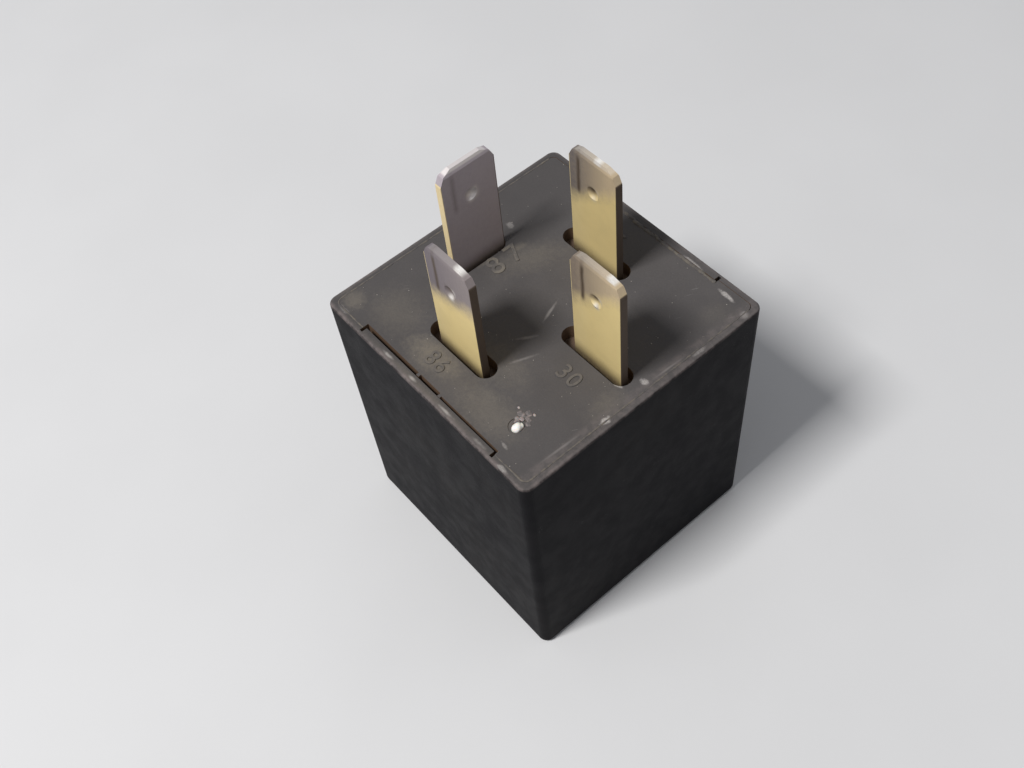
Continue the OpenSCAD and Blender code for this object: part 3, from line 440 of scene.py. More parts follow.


def blade_finish(look, props):
    """Brass blade: rubbed bare low down, a slanting film above it and a socket mark, with painted shade at its foot, in
    its detent and on one narrow side, and painted highlights on its tip and in its detent.
    """
    make = Shader("blade_" + look.node[-2:])
    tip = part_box(look.node)[1].z - plate_top()
    here = make.axes(make.placed(blade_middle(look.node), (0, 0, look.turn)))
    along, up = here[0], here[2]
    shifted = make.placed([look.seed * c * MM for c in (13, 7, 11)], (0, 0, look.turn))
    cloud = make.noise(2.4 * MM, 4.0, 0.6, shifted, 0.3)
    fine = make.noise(0.35 * MM, 4.0, 0.65, shifted)
    drawn = make.noise(0.10 * MM, 3.0, 0.6, make.placed(scale=(0.6, 0.6, 24.0), vector=shifted))
    ragged = make.plus(make.times(make.math("SUBTRACT", cloud, 0.5), 1.8 * MM),
                       make.times(make.math("SUBTRACT", fine, 0.5), 0.8 * MM))
    # bare brass: paler to the left, where the film has thinned out
    pale = tuple(0.93 * c + 0.05 for c in props.brass)
    brass = make.mix(make.span(make.plus(along, ragged), -3.0 * MM, -0.4 * MM), pale, props.brass)
    brass = make.mix(make.span(cloud, 0.35, 0.75, 0.0, 0.45), brass, tuple(0.88 * c for c in props.brass))
    # the film's edge climbs across the blade
    over = make.plus(make.math("MULTIPLY_ADD", along, -look.film_slope, up), ragged)
    film = make.span(over, look.film_from - 1.7 * MM, look.film_from + 1.1 * MM, look.least_film, 1.0)
    tone = make.mix(make.span(make.plus(along, make.times(ragged, 0.5)), -2.6 * MM, 2.2 * MM, smooth=False),
                    look.left, look.right)
    tone = make.mix(make.span(fine, 0.35, 0.75, 0.0, 0.25), tone, tuple(0.7 * c for c in look.right))
    base = make.mix(film, brass, tone)
    # painted shade: the narrow side towards +X or +Y is painted dark, as it faces away from the key lamp; the other
    # narrow side is kept bare brass
    base = make.mix(make.span(along, -3.13 * MM, -3.06 * MM, 0.8, 0.0), base, brass)
    shaded_flank = make.span(along, 3.05 * MM, 3.12 * MM)
    base = make.mix(shaded_flank, base, props.flank_shade)
    # dark mark of the socket's spring, from the tip down
    lane = make.plus(along, make.times(make.math("SUBTRACT", make.noise(3.0 * MM, 2.0, 0.5, shifted), 0.5), 0.3 * MM))
    half = props.scratch_width / 2
    low = tip - props.scratch_length
    mark = make.times(make.around(lane, look.mark_at, 2.0 * half), make.span(up, low - 0.3 * MM, low + 0.7 * MM),
                      make.span(up, tip - 1.4 * MM, tip - 0.7 * MM, 1.0, 0.3),
                      make.span(drawn, 0.25, 0.55, 0.65, 1.0), 1.0 - 0.65 * look.least_film)
    base = make.mix(mark, base, props.grime_and_shade)
    # detent: painted shade on its upper left side (not on terminal 87), and painted highlights on its right and lower
    # side, with a painted highlight in its middle on terminal 87
    dark = make.times(make.around(along, -0.15 * MM, 0.75 * MM), make.around(up, tip - 4.1 * MM, 0.8 * MM),
                      1.0 - look.least_film)
    base = make.mix(dark, base, props.grime_and_shade)
    light = make.highest(
        make.times(make.around(along, 0.45 * MM, 0.55 * MM), make.around(up, tip - 3.95 * MM, 0.6 * MM)),
        make.times(make.around(along, 0.05 * MM, 0.6 * MM), make.around(up, tip - 5.0 * MM, 0.5 * MM)),
        make.times(make.around(along, 0.25 * MM, 1.0 * MM), make.around(up, tip - 4.5 * MM, 1.0 * MM), look.least_film))
    # tip: a painted glint at glint_at and a fainter painted sheen along the rest of the tip's crown
    crown = make.span(up, tip - 0.40 * MM, tip - 0.22 * MM)
    glint = make.times(crown, make.highest(make.around(along, look.glint_at, 0.9 * MM), look.tip_shine))
    shine = make.times(make.highest(glint, make.times(light, look.dent_highlight)), make.span(fine, 0.15, 0.5, 0.6, 1.0))
    base = make.mix(shine, base, props.bright)
    # grime and painted shade where the blade stands in its pocket, darkest at the plate and fading out 1.9 mm above it
    foot = make.times(make.span(make.plus(up, make.times(ragged, 0.5)), -0.6 * MM, 1.9 * MM, 0.96, 0.0),
                      make.span(fine, 0.2, 0.7, 0.85, 1.0))
    base = make.mix(foot, base, props.grime_and_shade)
    pits = make.span(make.noise(0.16 * MM, 3.0, 0.7, shifted), 0.66, 0.78)
    base = make.mix(make.times(pits, 0.25), base, (0.20, 0.15, 0.10))
    rough = make.plus(make.span(film, 0.0, 1.0, 0.42, 0.60), make.times(foot, 0.2), make.times(shine, -0.2),
                      make.times(shaded_flank, 0.3),
                      make.span(drawn, 0.3, 0.7, -0.05, 0.07))
    metallic = make.plus(make.span(film, 0.0, 1.0, 0.30, 0.16), make.times(shine, 0.6), make.times(foot, -0.2),
                         make.times(shaded_flank, -0.25))
    normal = make.bump(drawn, 0.005 * MM, 0.7)
    normal = make.bump(mark, -0.02 * MM, 0.7, normal)
    normal = make.bump(pits, -0.008 * MM, 0.6, normal)
    return make.finish(Base_Color=base, Metallic=metallic, Roughness=rough, Normal=normal,
                       Specular_IOR_Level=make.span(shaded_flank, 0.0, 1.0, 0.5, 0.12))


def worked_metal(name, tone, rough, grain=(1.0, 1.0, 12.0), stain=(0.28, 0.25, 0.21), stain_share=0.35):
    """Rolled, drawn or plated metal with a directional grain and a little staining."""
    make = Shader(name)
    lay = make.noise(0.12 * MM, 3.0, 0.6, make.placed(scale=grain))
    cloud = make.noise(2.6 * MM, 4.0, 0.6)
    base = make.mix(make.times(make.span(cloud, 0.45, 0.75), stain_share), tone, stain)
    base = make.mix(make.span(lay, 0.3, 0.7, 0.0, 0.22), base, tuple(0.6 * c for c in tone))
    roughness = make.plus(make.span(lay, 0.3, 0.7, rough - 0.06, rough + 0.08),
                          make.span(cloud, 0.4, 0.8, 0.0, 0.10))
    normal = make.bump(lay, 0.005 * MM, 0.7)
    return make.finish(Base_Color=base, Metallic=1.0, Roughness=roughness, Normal=normal)


def nylon_finish():
    """Natural glass-filled nylon: warm white, with fine flow marks."""
    make = Shader("spool_nylon")
    flow = make.noise(1.4 * MM, 4.0, 0.6, make.placed(scale=(1.0, 1.0, 3.0)), 0.8)
    fibre = make.noise(0.08 * MM, 3.0, 0.7)
    base = make.mix(make.span(flow, 0.3, 0.75), (0.72, 0.66, 0.53), (0.58, 0.50, 0.37))
    normal = make.bump(fibre, 0.008 * MM, 0.8)
    return make.finish(Base_Color=base, Roughness=make.span(fibre, 0.3, 0.7, 0.42, 0.60), Normal=normal,
                       Subsurface_Weight=0.2, Subsurface_Scale=0.0005)


def enamelled_wire_finish(props):
    """Copper wire under a red-brown enamel."""
    make = Shader("enamelled_copper")
    tone = make.noise(1.1 * MM, 3.0, 0.6, make.placed(scale=(1.0, 1.0, 0.25)))
    base = make.mix(make.span(tone, 0.3, 0.7), props.enamel, (0.56, 0.20, 0.08))
    normal = make.bump(make.noise(0.15 * MM, 2.0, 0.5), 0.004 * MM, 0.5)
    return make.finish(Base_Color=base, Metallic=0.75, Roughness=make.span(tone, 0.3, 0.7, 0.24, 0.36),
                       Normal=normal, Coat_Weight=0.5, Coat_Roughness=0.12)


# ---------------------------------------------------------------- mesh helpers

def dress(node, material):
    """Gives a CAD node a material, in place."""
    piece = NODES[node]
    piece.data.materials.clear()
    piece.data.materials.append(material)


def new_piece(name, mesh, material, body):
    """Puts a finished mesh in the scene as a piece that rides on a body."""
    piece = bpy.data.objects.new(name, mesh)
    bpy.context.scene.collection.objects.link(piece)
    if material is not None:
        mesh.materials.clear()
        mesh.materials.append(material)
    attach(piece, body)
    return piece


def applied(piece, name):
    """The evaluated object as a plain mesh, with the helper object taken away."""
    bpy.context.view_layer.update()
    graph = bpy.context.evaluated_depsgraph_get()
    mesh = bpy.data.meshes.new_from_object(piece.evaluated_get(graph), depsgraph=graph)
    mesh.name = name
    old = piece.data
    bpy.data.objects.remove(piece)
    if old.users == 0 and isinstance(old, bpy.types.Mesh):
        bpy.data.meshes.remove(old)
    elif old.users == 0 and isinstance(old, bpy.types.Curve):
        bpy.data.curves.remove(old)
    return mesh


def cleaned(mesh, merge=0.002 * MM):
    """Merges doubles and points the faces outwards."""
    bm = bmesh.new()
    bm.from_mesh(mesh)
    bmesh.ops.remove_doubles(bm, verts=bm.verts, dist=merge)
    bmesh.ops.recalc_face_normals(bm, faces=bm.faces)
    bm.to_mesh(mesh)
    bm.free()
    return mesh


def blob_mesh(name, balls, voxel, wobble, seed):
    """Melted lump: balls (x, y, z, rx, ry, rz) merged by a voxel remesh and roughened."""
    bm = bmesh.new()
    for x, y, z, rx, ry, rz in balls:
        bmesh.ops.create_icosphere(bm, subdivisions=3, radius=1.0,
                                   matrix=Matrix.Translation((x, y, z)) @ Matrix.Diagonal((rx, ry, rz, 1.0)))
    mesh = bpy.data.meshes.new(name)
    bm.to_mesh(mesh)
    bm.free()
    helper = bpy.data.objects.new(name + "_helper", mesh)
    bpy.context.scene.collection.objects.link(helper)
    remesh = helper.modifiers.new("join", "REMESH")
    remesh.mode = "VOXEL"
    remesh.voxel_size = voxel
    smooth = helper.modifiers.new("soften", "SMOOTH")
    smooth.iterations = 4
    smooth.factor = 0.5
    made = applied(helper, name)
    pick = random.Random(seed)
    shift = Vector((pick.random(), pick.random(), pick.random())) * 50.0
    normals = [v.normal.copy() for v in made.vertices]
    for vertex, normal in zip(made.vertices, normals):
        vertex.co += normal * wobble * noise.noise(vertex.co / (0.45 * MM) + shift)
    for face in made.polygons:
        face.use_smooth = True
    return cleaned(made)


# ---------------------------------------------------------------- the pieces

# Marks on the top face: x, y, length, width in mm, turn in degrees, strength
DRIFTS = (
    (-2.3, -11.5, 7.4, 3.6, 4, 0.75), (6.0, -11.6, 9.0, 5.0, 0, 0.50), (-9.0, -10.5, 7.0, 6.0, 0, 0.34),
    (3.0, -7.5, 8.0, 5.0, -10, 0.38), (-13.2, -12.8, 3.0, 2.6, 0, 0.65), (-5.2, 3.0, 9.0, 4.0, 70, 0.40),
    (13.0, -3.4, 2.4, 5.5, 0, 0.34), (0.5, -14.5, 26.0, 0.7, 0, 0.30), (12.5, 11.0, 3.0, 4.0, 0, 0.18),
    (-7.0, 3.1, 2.6, 1.1, 80, 0.60), (-6.1, 0.3, 2.0, 0.9, 80, 0.50), (-7.9, -0.3, 0.8, 2.8, 0, 0.45),
)
# The rows at (-2.8, 14.0), (6.6, 14.07) and (11.6, 13.43) are painted highlights along the ridge by terminal 85's slit
RUBS_AND_HIGHLIGHTS = (
    (13.5, 0.8, 0.9, 0.7, 0, 0.9), (14.2, -4.7, 0.8, 1.3, 4, 1.0), (12.1, -1.25, 1.1, 0.35, 12, 0.8),
    (-9.9, 4.5, 1.0, 0.8, 0, 0.42), (-2.8, 14.0, 1.2, 0.45, 0, 0.65), (6.6, 14.07, 2.9, 0.42, -2, 0.75),
    (11.6, 13.43, 2.1, 0.5, -3, 1.0), (14.5, 6.8, 0.5, 1.6, 0, 0.45), (14.4, 12.9, 0.9, 1.0, 20, 0.45),
    (-12.8, -14.3, 1.6, 0.6, 0, 0.35), (11.7, -14.7, 1.4, 0.45, 0, 0.7), (9.9, -13.0, 1.2, 0.35, -12, 0.45),
)
# The row at (3.85, -5.55) is a painted highlight along the edge of terminal 86's shadow
STREAKS_AND_HIGHLIGHT = (
    (1.35, 0.0, 2.9, 0.34, -69, 0.50), (3.85, -5.55, 2.9, 0.36, 68, 0.28), (2.2, -3.6, 2.2, 0.40, 60, 0.30),
    (-5.4, -14.5, 1.6, 0.35, 0, 0.7), (-1.6, -14.5, 1.1, 0.35, 0, 0.7), (3.3, -14.55, 2.4, 0.35, 0, 0.7),
    (8.2, -14.5, 1.8, 0.35, 0, 0.35), (13.9, 3.4, 3.6, 0.25, 88, 0.20), (13.6, -9.6, 4.6, 0.30, 88, 0.22),
)


class RELAY_OT_cover(bpy.types.Operator):
    """Finish the cover: black moulded sides, a dusty rim and worn latch edges"""
    bl_idname = "relay.cover"
    bl_label = "Cover"

    def execute(self, context):
        props = context.scene.relay_plastic
        dress("cover", dusty_plastic("cover_plastic", props.cover_black, props))
        return {"FINISHED"}


class RELAY_OT_plate(bpy.types.Operator):
    """Finish the base plate, scatter dust specks over it and pack dust into its seam"""
    bl_idname = "relay.plate"
    bl_label = "Base plate"

    def execute(self, context):
        props = context.scene.relay_plastic
        dress("base_plate", dusty_plastic("plate_plastic", props.plate_black, props))
        scatter_specks(props)
        cake = caked_dust_finish(props)
        # the slit by terminal 86 stays open, the one by terminal 85 is packed full
        seam = seam_path(lambda x, y: y < SLIT_SIDE and not (y < -SLIT_SIDE and abs(x) < OPEN_SLIT))
        slit = seam_path(lambda x, y: y > SLIT_SIDE and PACKED_SLIT[0] < x < PACKED_SLIT[1])
        lay_bead("seam_dust", seam, props.seam_bead, props.seam_bead * 0.5, cake)
        lay_bead("slit_dust", slit, props.slit_bead, props.slit_bead * 0.6, cake)
        return {"FINISHED"}


def top_faces(node, level):
    """The part of a node's mesh that lies in one level, as a new mesh."""
    bm = bmesh.new()
    bm.from_mesh(NODES[node].data)
    flat = [f for f in bm.faces if f.normal.z > 0.99 and all(abs(v.co.z - level) < 0.01 * MM for v in f.verts)]
    keep = set(flat)
    bmesh.ops.delete(bm, geom=[f for f in bm.faces if f not in keep], context="FACES")
    bmesh.ops.remove_doubles(bm, verts=bm.verts, dist=0.001 * MM)
    mesh = bpy.data.meshes.new(node + "_top")
    bm.to_mesh(mesh)
    bm.free()
    return mesh


class Rule:
    """A Geometry Nodes tree under construction; the modifier that runs it is applied at once."""

    def __init__(self, name, **inputs):
        self.tree = bpy.data.node_groups.new(name, "GeometryNodeTree")
        face = self.tree.interface
        face.new_socket("Start", in_out="INPUT", socket_type="NodeSocketGeometry")
        self.values = {}
        for key, (kind, value) in inputs.items():
            made = face.new_socket(key, in_out="INPUT", socket_type="NodeSocket" + kind)
            self.values[made.identifier] = value
        face.new_socket("Result", in_out="OUTPUT", socket_type="NodeSocketGeometry")
        self.start = self.tree.nodes.new("NodeGroupInput").outputs

    def node(self, kind, inputs, out=0, **settings):
        """Adds a node, feeds the sockets named or numbered in inputs, and returns one output."""
        made = self.tree.nodes.new(kind)
        for key, value in settings.items():
            setattr(made, key, value)
        for key, value in inputs.items():
            if isinstance(value, bpy.types.NodeSocket):
                self.tree.links.new(value, made.inputs[key])
            else:
                made.inputs[key].default_value = value
        return made.outputs[out]

    def grow(self, result, material, mesh, name):
        """Closes the tree, runs it on a mesh and returns what grew."""
        real = self.node("GeometryNodeRealizeInstances", {"Geometry": result})
        paint = self.node("GeometryNodeSetMaterial", {"Geometry": real, "Material": material})
        self.tree.links.new(paint, self.tree.nodes.new("NodeGroupOutput").inputs[0])
        helper = bpy.data.objects.new(name + "_helper", mesh)
        bpy.context.scene.collection.objects.link(helper)
        run = helper.modifiers.new("rule", "NODES")
        run.node_group = self.tree
        for key, value in self.values.items():
            run[key] = value
        return applied(helper, name)


def scatter_specks(props):
    """Dust specks and lint grains on the base plate."""
    material = speck_finish()
    bm = bmesh.new()
    bmesh.ops.create_icosphere(bm, subdivisions=1, radius=0.5)
    for vertex in bm.verts:
        vertex.co.z *= 0.5
    grain_mesh = bpy.data.meshes.new("grain")
    bm.to_mesh(grain_mesh)
    bm.free()
    grain = bpy.data.objects.new("grain", grain_mesh)
    rule = Rule("scatter_specks", Density=("Float", props.speck_density), Size=("Float", props.speck_size * 2),
                Seed=("Int", 7))
    start = rule.start
    points = rule.node("GeometryNodeDistributePointsOnFaces",
                       {"Mesh": start["Start"], "Density": start["Density"], "Seed": start["Seed"]})
    source = rule.node("GeometryNodeObjectInfo", {"Object": grain}, "Geometry")
    turn = rule.node("FunctionNodeRandomValue", {"Max": (0.5, 0.5, 2 * math.pi), "Seed": start["Seed"]},
                     data_type="FLOAT_VECTOR")
    # few grains are big: the cube of an even spread
    even = rule.node("FunctionNodeRandomValue", {2: 0.25, 3: 1.0, "Seed": start["Seed"]}, 1, data_type="FLOAT")
    cube = rule.node("ShaderNodeMath", {0: even, 1: 3.0}, operation="POWER")
    scale = rule.node("ShaderNodeMath", {0: cube, 1: start["Size"]}, operation="MULTIPLY")
    put = rule.node("GeometryNodeInstanceOnPoints",
                    {"Points": points, "Instance": source, "Rotation": turn, "Scale": scale})
    mesh = rule.grow(put, material, top_faces("base_plate", plate_top()), "dust_specks")
    bpy.data.objects.remove(grain)
    new_piece("dust_specks", mesh, material, HOUSING)


def seam_path(wanted):
    """Outline of the base plate's top, as edges, where wanted(x, y) in mm holds."""
    mesh = top_faces("base_plate", plate_top())
    reach = min(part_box("base_plate")[1].x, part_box("base_plate")[1].y) - 1.0 * MM
    bm = bmesh.new()
    bm.from_mesh(mesh)
    middles = {e: (e.verts[0].co + e.verts[1].co) / 2 for e in bm.edges}
    keep = {e for e, m in middles.items() if e.is_boundary and max(abs(m.x), abs(m.y)) > reach
            and wanted(m.x / MM, m.y / MM)}
    bmesh.ops.delete(bm, geom=[e for e in bm.edges if e not in keep], context="EDGES_FACES")
    bmesh.ops.delete(bm, geom=[v for v in bm.verts if not v.link_edges], context="VERTS")
    bm.to_mesh(mesh)
    bm.free()
    return mesh


def lay_bead(name, path, radius, wander, material):
    """Bead of caked dust along a path: Geometry Nodes swell it and let it wander."""
    rule = Rule("lay_" + name, Radius=("Float", radius), Wander=("Float", wander), Step=("Float", 0.16 * MM))
    start = rule.start
    curve = rule.node("GeometryNodeMeshToCurve", {"Mesh": start["Start"]})
    even = rule.node("GeometryNodeResampleCurve", {"Curve": curve, "Length": start["Step"]}, mode="LENGTH")
    drift = rule.node("ShaderNodeTexNoise", {"Scale": 1.0 / (0.9 * MM), "Detail": 3.0}, "Color")
    centred = rule.node("ShaderNodeVectorMath", {0: drift, 1: (0.5, 0.5, 0.5)}, operation="SUBTRACT")
    apart = rule.node("ShaderNodeVectorMath", {0: centred, "Scale": start["Wander"]}, operation="SCALE")
    moved = rule.node("GeometryNodeSetPosition", {"Geometry": even, "Offset": apart})
    swell = rule.node("ShaderNodeTexNoise", {"Scale": 1.0 / (0.5 * MM), "Detail": 4.0}, "Fac")
    share = rule.node("ShaderNodeMapRange", {0: swell, 1: 0.3, 2: 0.7, 3: 0.45, 4: 1.25})
    thick = rule.node("ShaderNodeMath", {0: share, 1: start["Radius"]}, operation="MULTIPLY")
    ring = rule.node("GeometryNodeCurvePrimitiveCircle", {"Resolution": 8, "Radius": 1.0})
    flat = rule.node("GeometryNodeTransform", {"Geometry": ring, "Scale": (1.0, 0.5, 1.0)})
    tube = rule.node("GeometryNodeCurveToMesh",
                     {"Curve": moved, "Profile Curve": flat, "Scale": thick, "Fill Caps": True})
    mesh = rule.grow(tube, material, path, name)
    new_piece(name, mesh, material, HOUSING)


class RELAY_OT_numbers(bpy.types.Operator):
    """Mould the four terminal numbers on the base plate"""
    bl_idname = "relay.numbers"
    bl_label = "Terminal numbers"

    def execute(self, context):
        marks, props = context.scene.relay_marks, context.scene.relay_plastic
        faint = moulded_number_finish("number_faint", 0.38, props)
        pale = moulded_number_finish("number_pale", 0.80, props)
        foot = {number: blade_middle("terminal_" + number) for number in ("30", "85", "86", "87")}
        beside = 2.05 * MM + marks.digit_height / 2
        places = {
            "86": (foot["86"] + Vector((-1.1 * MM, -beside + 0.35 * MM, 0)), 0.0, 1.0),
            "30": (foot["30"] + Vector((-0.9 * MM, -beside - 0.3 * MM, 0)), 0.0, 1.0),
            "85": (foot["85"] + Vector((-1.1 * MM, beside, 0)), 0.0, 1.0),
            "87": (foot["87"] + Vector((2.15 * MM, 1.75 * MM, 0)), math.pi / 2, 1.32),
        }
        for number, (place, turn, scale) in places.items():
            mould_number(number, place, turn, scale, marks, pale if number == "87" else faint)
        return {"FINISHED"}


def mould_number(number, place, turn, scale, marks, material):
    """One raised number, its middle at place, with softened edges."""
    letters = bpy.data.curves.new("number_" + number, "FONT")
    letters.body = number
    letters.align_x = "CENTER"
    letters.align_y = "CENTER"
    letters.size = marks.digit_height * scale / 0.72
    letters.extrude = marks.digit_raise
    letters.bevel_depth = 0.02 * MM
    letters.bevel_resolution = 1
    letters.resolution_u = 5
    letters.space_character = 1.12 * scale
    helper = bpy.data.objects.new("number_helper", letters)
    bpy.context.scene.collection.objects.link(helper)
    mesh = applied(helper, "number_" + number)
    mesh.transform(Matrix.Translation(place) @ Matrix.Rotation(turn, 4, "Z"))
    cleaned(mesh)
    new_piece("number_" + number, mesh, material, HOUSING)


class RELAY_OT_vent(bpy.types.Operator):
    """Melt the vent stub shut: a pale lump, a rough scar beside it and stray chips"""
    bl_idname = "relay.vent"
    bl_label = "Sealed vent"

    def execute(self, context):
        marks, props = context.scene.relay_marks, context.scene.relay_plastic
        stub = Vector((blade_middle("terminal_30").x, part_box("cover")[0].y + VENT_INSET, plate_top()))
        # each blob: x, y, z from the stub's middle, then its three half sizes, in mm
        lump = ((0.10, -0.16, 0.03, 0.46, 0.56, 0.44), (0.16, 0.20, 0.0, 0.34, 0.32, 0.30))
        tail = ((-0.36, 0.24, 0.0, 0.30, 0.26, 0.14), (-0.66, 0.50, 0.0, 0.26, 0.22, 0.10),
                (-0.30, 0.80, -0.01, 0.30, 0.22, 0.09))
        scar = ((-0.75, 1.10, -0.03, 0.50, 0.32, 0.10), (0.05, 1.20, -0.03, 0.42, 0.28, 0.10),
                (-0.35, 1.65, -0.03, 0.42, 0.26, 0.09), (0.50, 0.80, -0.03, 0.30, 0.26, 0.09))
        chips = ((-1.45, 1.40, 0.0, 0.17, 0.13, 0.08), (0.15, 1.90, 0.0, 0.18, 0.13, 0.09))
        blobs = (("vent_seal", lump, 0.05, 0.05, 3, melted_plastic_finish("vent_seal", marks.seal_white)),
                 ("vent_tail", tail, 0.05, 0.07, 4, melted_plastic_finish("vent_tail", (0.24, 0.205, 0.20))),
                 ("vent_scar", scar, 0.05, 0.10, 5, scar_finish(props)),
                 ("vent_chips", chips, 0.035, 0.05, 9, melted_plastic_finish("vent_chips", (0.34, 0.30, 0.29))))
        for name, balls, voxel, wobble, seed, material in blobs:
            mesh = blob_mesh(name, [[c * MM for c in ball] for ball in balls], voxel * MM, wobble * MM, seed)
            mesh.transform(Matrix.Translation(stub))
            new_piece(name, mesh, material, HOUSING)
        return {"FINISHED"}


class RELAY_OT_blades(bpy.types.Operator):
    """Finish the four blades: rubbed brass, dull film and socket scratches"""
    bl_idname = "relay.blades"
    bl_label = "Blades"

    def execute(self, context):
        props = context.scene.relay_metal
        olive, tan, grey, dull = props.olive_film, props.tan_film, props.grey_film, props.dull_film
        looks = (
            BladeLook("terminal_30", 1, 0.0, olive, tan, 9.7 * MM, 0.71, 0.0, -1.65 * MM, 1.9 * MM, 0.15, 0.75),
            BladeLook("terminal_85", 2, 0.0, (0.145, 0.125, 0.118), tan, 9.3 * MM, 0.71, 0.0, -1.9 * MM, 0.6 * MM,
                      0.25, 0.30),
            BladeLook("terminal_86", 3, 0.0, grey, (0.240, 0.205, 0.205), 8.2 * MM, 0.25, 0.0, -1.8 * MM, 1.7 * MM,
                      0.10, 0.70),
            BladeLook("terminal_87", 4, math.pi / 2, dull, dull, 9.9 * MM, 0.3, 1.0, -1.8 * MM, -2.7 * MM, 0.45, 0.60),
        )
        for look in looks:
            dress(look.node, blade_finish(look, props))
        return {"FINISHED"}


class RELAY_OT_mechanism(bpy.types.Operator):
    """Finish the coil, iron, contacts, spring and leads inside"""
    bl_idname = "relay.mechanism"
    bl_label = "Mechanism"

    def execute(self, context):
        props = context.scene.relay_metal
        iron = worked_metal("soft_iron", props.iron, 0.34)
        rivet = worked_metal("rivet_steel", (0.60, 0.60, 0.60), 0.28, (3, 3, 3))
        silver = worked_metal("contact_silver", props.silver, 0.22, (2, 2, 2), (0.35, 0.31, 0.27), 0.5)
        enamel = enamelled_wire_finish(props)
        dress("bobbin", nylon_finish())
        for node in ("coil_winding", "coil_lead_85", "coil_lead_86"):
            dress(node, enamel)
        for node in ("coil_core", "yoke", "armature"):
            dress(node, iron)
        for node in ("leaf_rivets", "terminal_rivets"):
            dress(node, rivet)
        for node in ("moving_contact", "fixed_contact"):
            dress(node, silver)
        dress("contact_leaf", worked_metal("leaf_bronze", (0.62, 0.38, 0.21), 0.30, (12, 1, 1)))
        dress("return_spring", worked_metal("spring_steel", (0.44, 0.44, 0.45), 0.26, (2, 2, 2)))
        dress("copper_braid", worked_metal("bare_copper", props.copper, 0.38, (1, 1, 3)))
        return {"FINISHED"}


class RELAY_OT_stage(bpy.types.Operator):
    """Set the floor, the lights and the camera"""
    bl_idname = "relay.stage"
    bl_label = "Studio"

    def execute(self, context):
        props = context.scene.relay_stage
        make_floor(props)
        make_lights(context, props)
        make_camera(context, props)
        context.scene.view_settings.view_transform = "Standard"
        return {"FINISHED"}


def make_floor(props):
    """Pale plain floor under the relay."""
    bm = bmesh.new()
    bmesh.ops.create_grid(bm, x_segments=8, y_segments=8, size=1.2)
    mesh = bpy.data.meshes.new("floor")
    bm.to_mesh(mesh)
    bm.free()
    floor = bpy.data.objects.new("floor", mesh)
    bpy.context.scene.collection.objects.link(floor)
    make = Shader("floor_paper")
    tone = make.noise(30 * MM, 3.0, 0.5)
    base = make.mix(make.span(tone, 0.3, 0.7), props.floor_tone, tuple(0.97 * c for c in props.floor_tone))
    normal = make.bump(make.noise(0.3 * MM, 3.0, 0.6), 0.01 * MM, 0.5)
    floor.data.materials.append(make.finish(Base_Color=base, Roughness=0.82, Normal=normal))


def soft_light(name, place, aim, size, power, tint):
    """Square area lamp aimed at a point."""
    lamp = bpy.data.lights.new(name, "AREA")
    lamp.shape = "SQUARE"
    lamp.size = size
    lamp.energy = power
    lamp.color = tint
    holder = bpy.data.objects.new(name, lamp)
    bpy.context.scene.collection.objects.link(holder)
    holder.location = place
    holder.rotation_euler = (Vector(aim) - Vector(place)).to_track_quat("-Z", "Y").to_euler()
    return holder


def make_lights(context, props):
    """One soft key lamp on the side of terminal 86, and an even world."""
    aim = Vector((0, 0, 0.035))
    place = aim + props.key_distance * Vector((-0.05, -0.53, 0.85)).normalized()
    soft_light("key_light", place, aim, props.key_size, props.key_power, (1.0, 0.985, 0.96))
    world = bpy.data.worlds.new("studio")
    context.scene.world = world
    world.use_nodes = True
    tree = world.node_tree
    tree.nodes.clear()
    output = tree.nodes.new("ShaderNodeOutputWorld")
    even, seen = (tree.nodes.new("ShaderNodeBackground") for _ in range(2))
    even.inputs["Color"].default_value = (0.96, 0.97, 1.0, 1.0)
    even.inputs["Strength"].default_value = props.world_level
    seen.inputs["Color"].default_value = (0.80, 0.82, 0.86, 1.0)
    seen.inputs["Strength"].default_value = 1.0
    path = tree.nodes.new("ShaderNodeLightPath")
    shown = path.outputs["Is Camera Ray"]
    link = tree.links.new
    for ray in ("Is Glossy Ray", "Is Transmission Ray"):
        both = tree.nodes.new("ShaderNodeMath")
        both.operation = "MAXIMUM"
        link(shown, both.inputs[0])
        link(path.outputs[ray], both.inputs[1])
        shown = both.outputs[0]
    blend = tree.nodes.new("ShaderNodeMixShader")
    link(shown, blend.inputs["Fac"])
    link(even.outputs[0], blend.inputs[1])
    link(seen.outputs[0], blend.inputs[2])
    link(blend.outputs[0], output.inputs["Surface"])


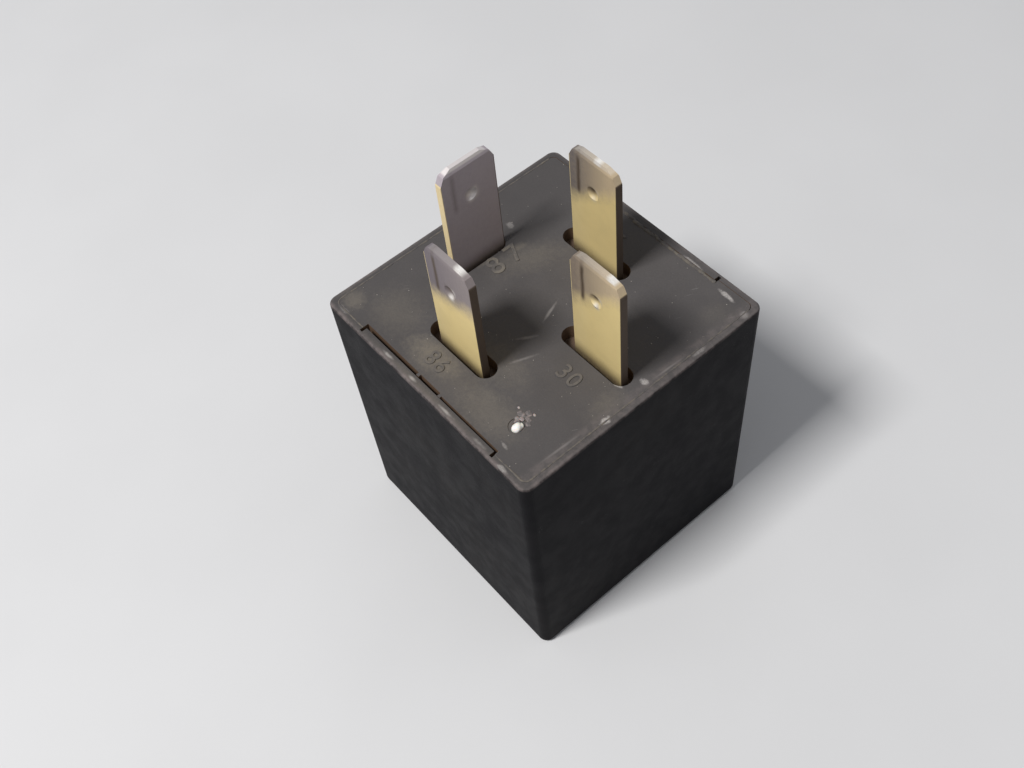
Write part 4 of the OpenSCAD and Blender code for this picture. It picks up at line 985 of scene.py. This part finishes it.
def make_camera(context, props):
    """Camera looking down on the blades' corner."""
    turn, rise, roll = props.azimuth, props.elevation, props.roll
    back = Vector((math.sin(turn) * math.cos(rise), -math.cos(turn) * math.cos(rise), math.sin(rise)))
    target = Vector((-4.53 * MM, -1.51 * MM, 16.5 * MM))
    right = (-back).cross(Vector((0, 0, 1))).normalized()
    up = right.cross(-back)
    across = math.cos(roll) * right + math.sin(roll) * up
    over = -math.sin(roll) * right + math.cos(roll) * up
    camera = bpy.data.cameras.new("camera")
    camera.sensor_width = 36.0
    camera.lens = props.lens
    camera.clip_start = 0.005
    camera.clip_end = 10.0
    holder = bpy.data.objects.new("camera", camera)
    context.scene.collection.objects.link(holder)
    holder.matrix_world = Matrix.Translation(target + back * props.distance) @ \
        Matrix((across, over, back)).transposed().to_4x4()
    context.scene.camera = holder


# ---------------------------------------------------------------- add-on

PIECES = (RELAY_OT_stage, RELAY_OT_cover, RELAY_OT_plate, RELAY_OT_numbers, RELAY_OT_vent, RELAY_OT_blades,
          RELAY_OT_mechanism)
SETTINGS = (("relay_plastic", RelayPlastic), ("relay_marks", RelayMarks), ("relay_metal", RelayMetal),
            ("relay_stage", RelayStage))


class RELAY_PT_panel(bpy.types.Panel):
    """The relay's pieces and their settings"""
    bl_idname = "RELAY_PT_panel"
    bl_label = "Relay"
    bl_space_type = "VIEW_3D"
    bl_region_type = "UI"
    bl_category = "Relay"

    def draw(self, context):
        for piece in PIECES:
            self.layout.operator(piece.bl_idname, text=piece.bl_label)
        for name, group in SETTINGS:
            box = self.layout.box()
            for key in group.__annotations__:
                box.prop(getattr(context.scene, name), key)


def register():
    for name, group in SETTINGS:
        bpy.utils.register_class(group)
        setattr(bpy.types.Scene, name, bpy.props.PointerProperty(type=group))
    for piece in PIECES:
        bpy.utils.register_class(piece)
    bpy.utils.register_class(RELAY_PT_panel)


def unregister():
    bpy.utils.unregister_class(RELAY_PT_panel)
    for piece in reversed(PIECES):
        bpy.utils.unregister_class(piece)
    for name, group in reversed(SETTINGS):
        delattr(bpy.types.Scene, name)
        bpy.utils.unregister_class(group)


def main():
    register()
    bpy.ops.relay.stage()
    bpy.ops.relay.cover()
    bpy.ops.relay.plate()
    bpy.ops.relay.numbers()
    bpy.ops.relay.vent()
    bpy.ops.relay.blades()
    bpy.ops.relay.mechanism()


if __name__ == "__main__":
    main()
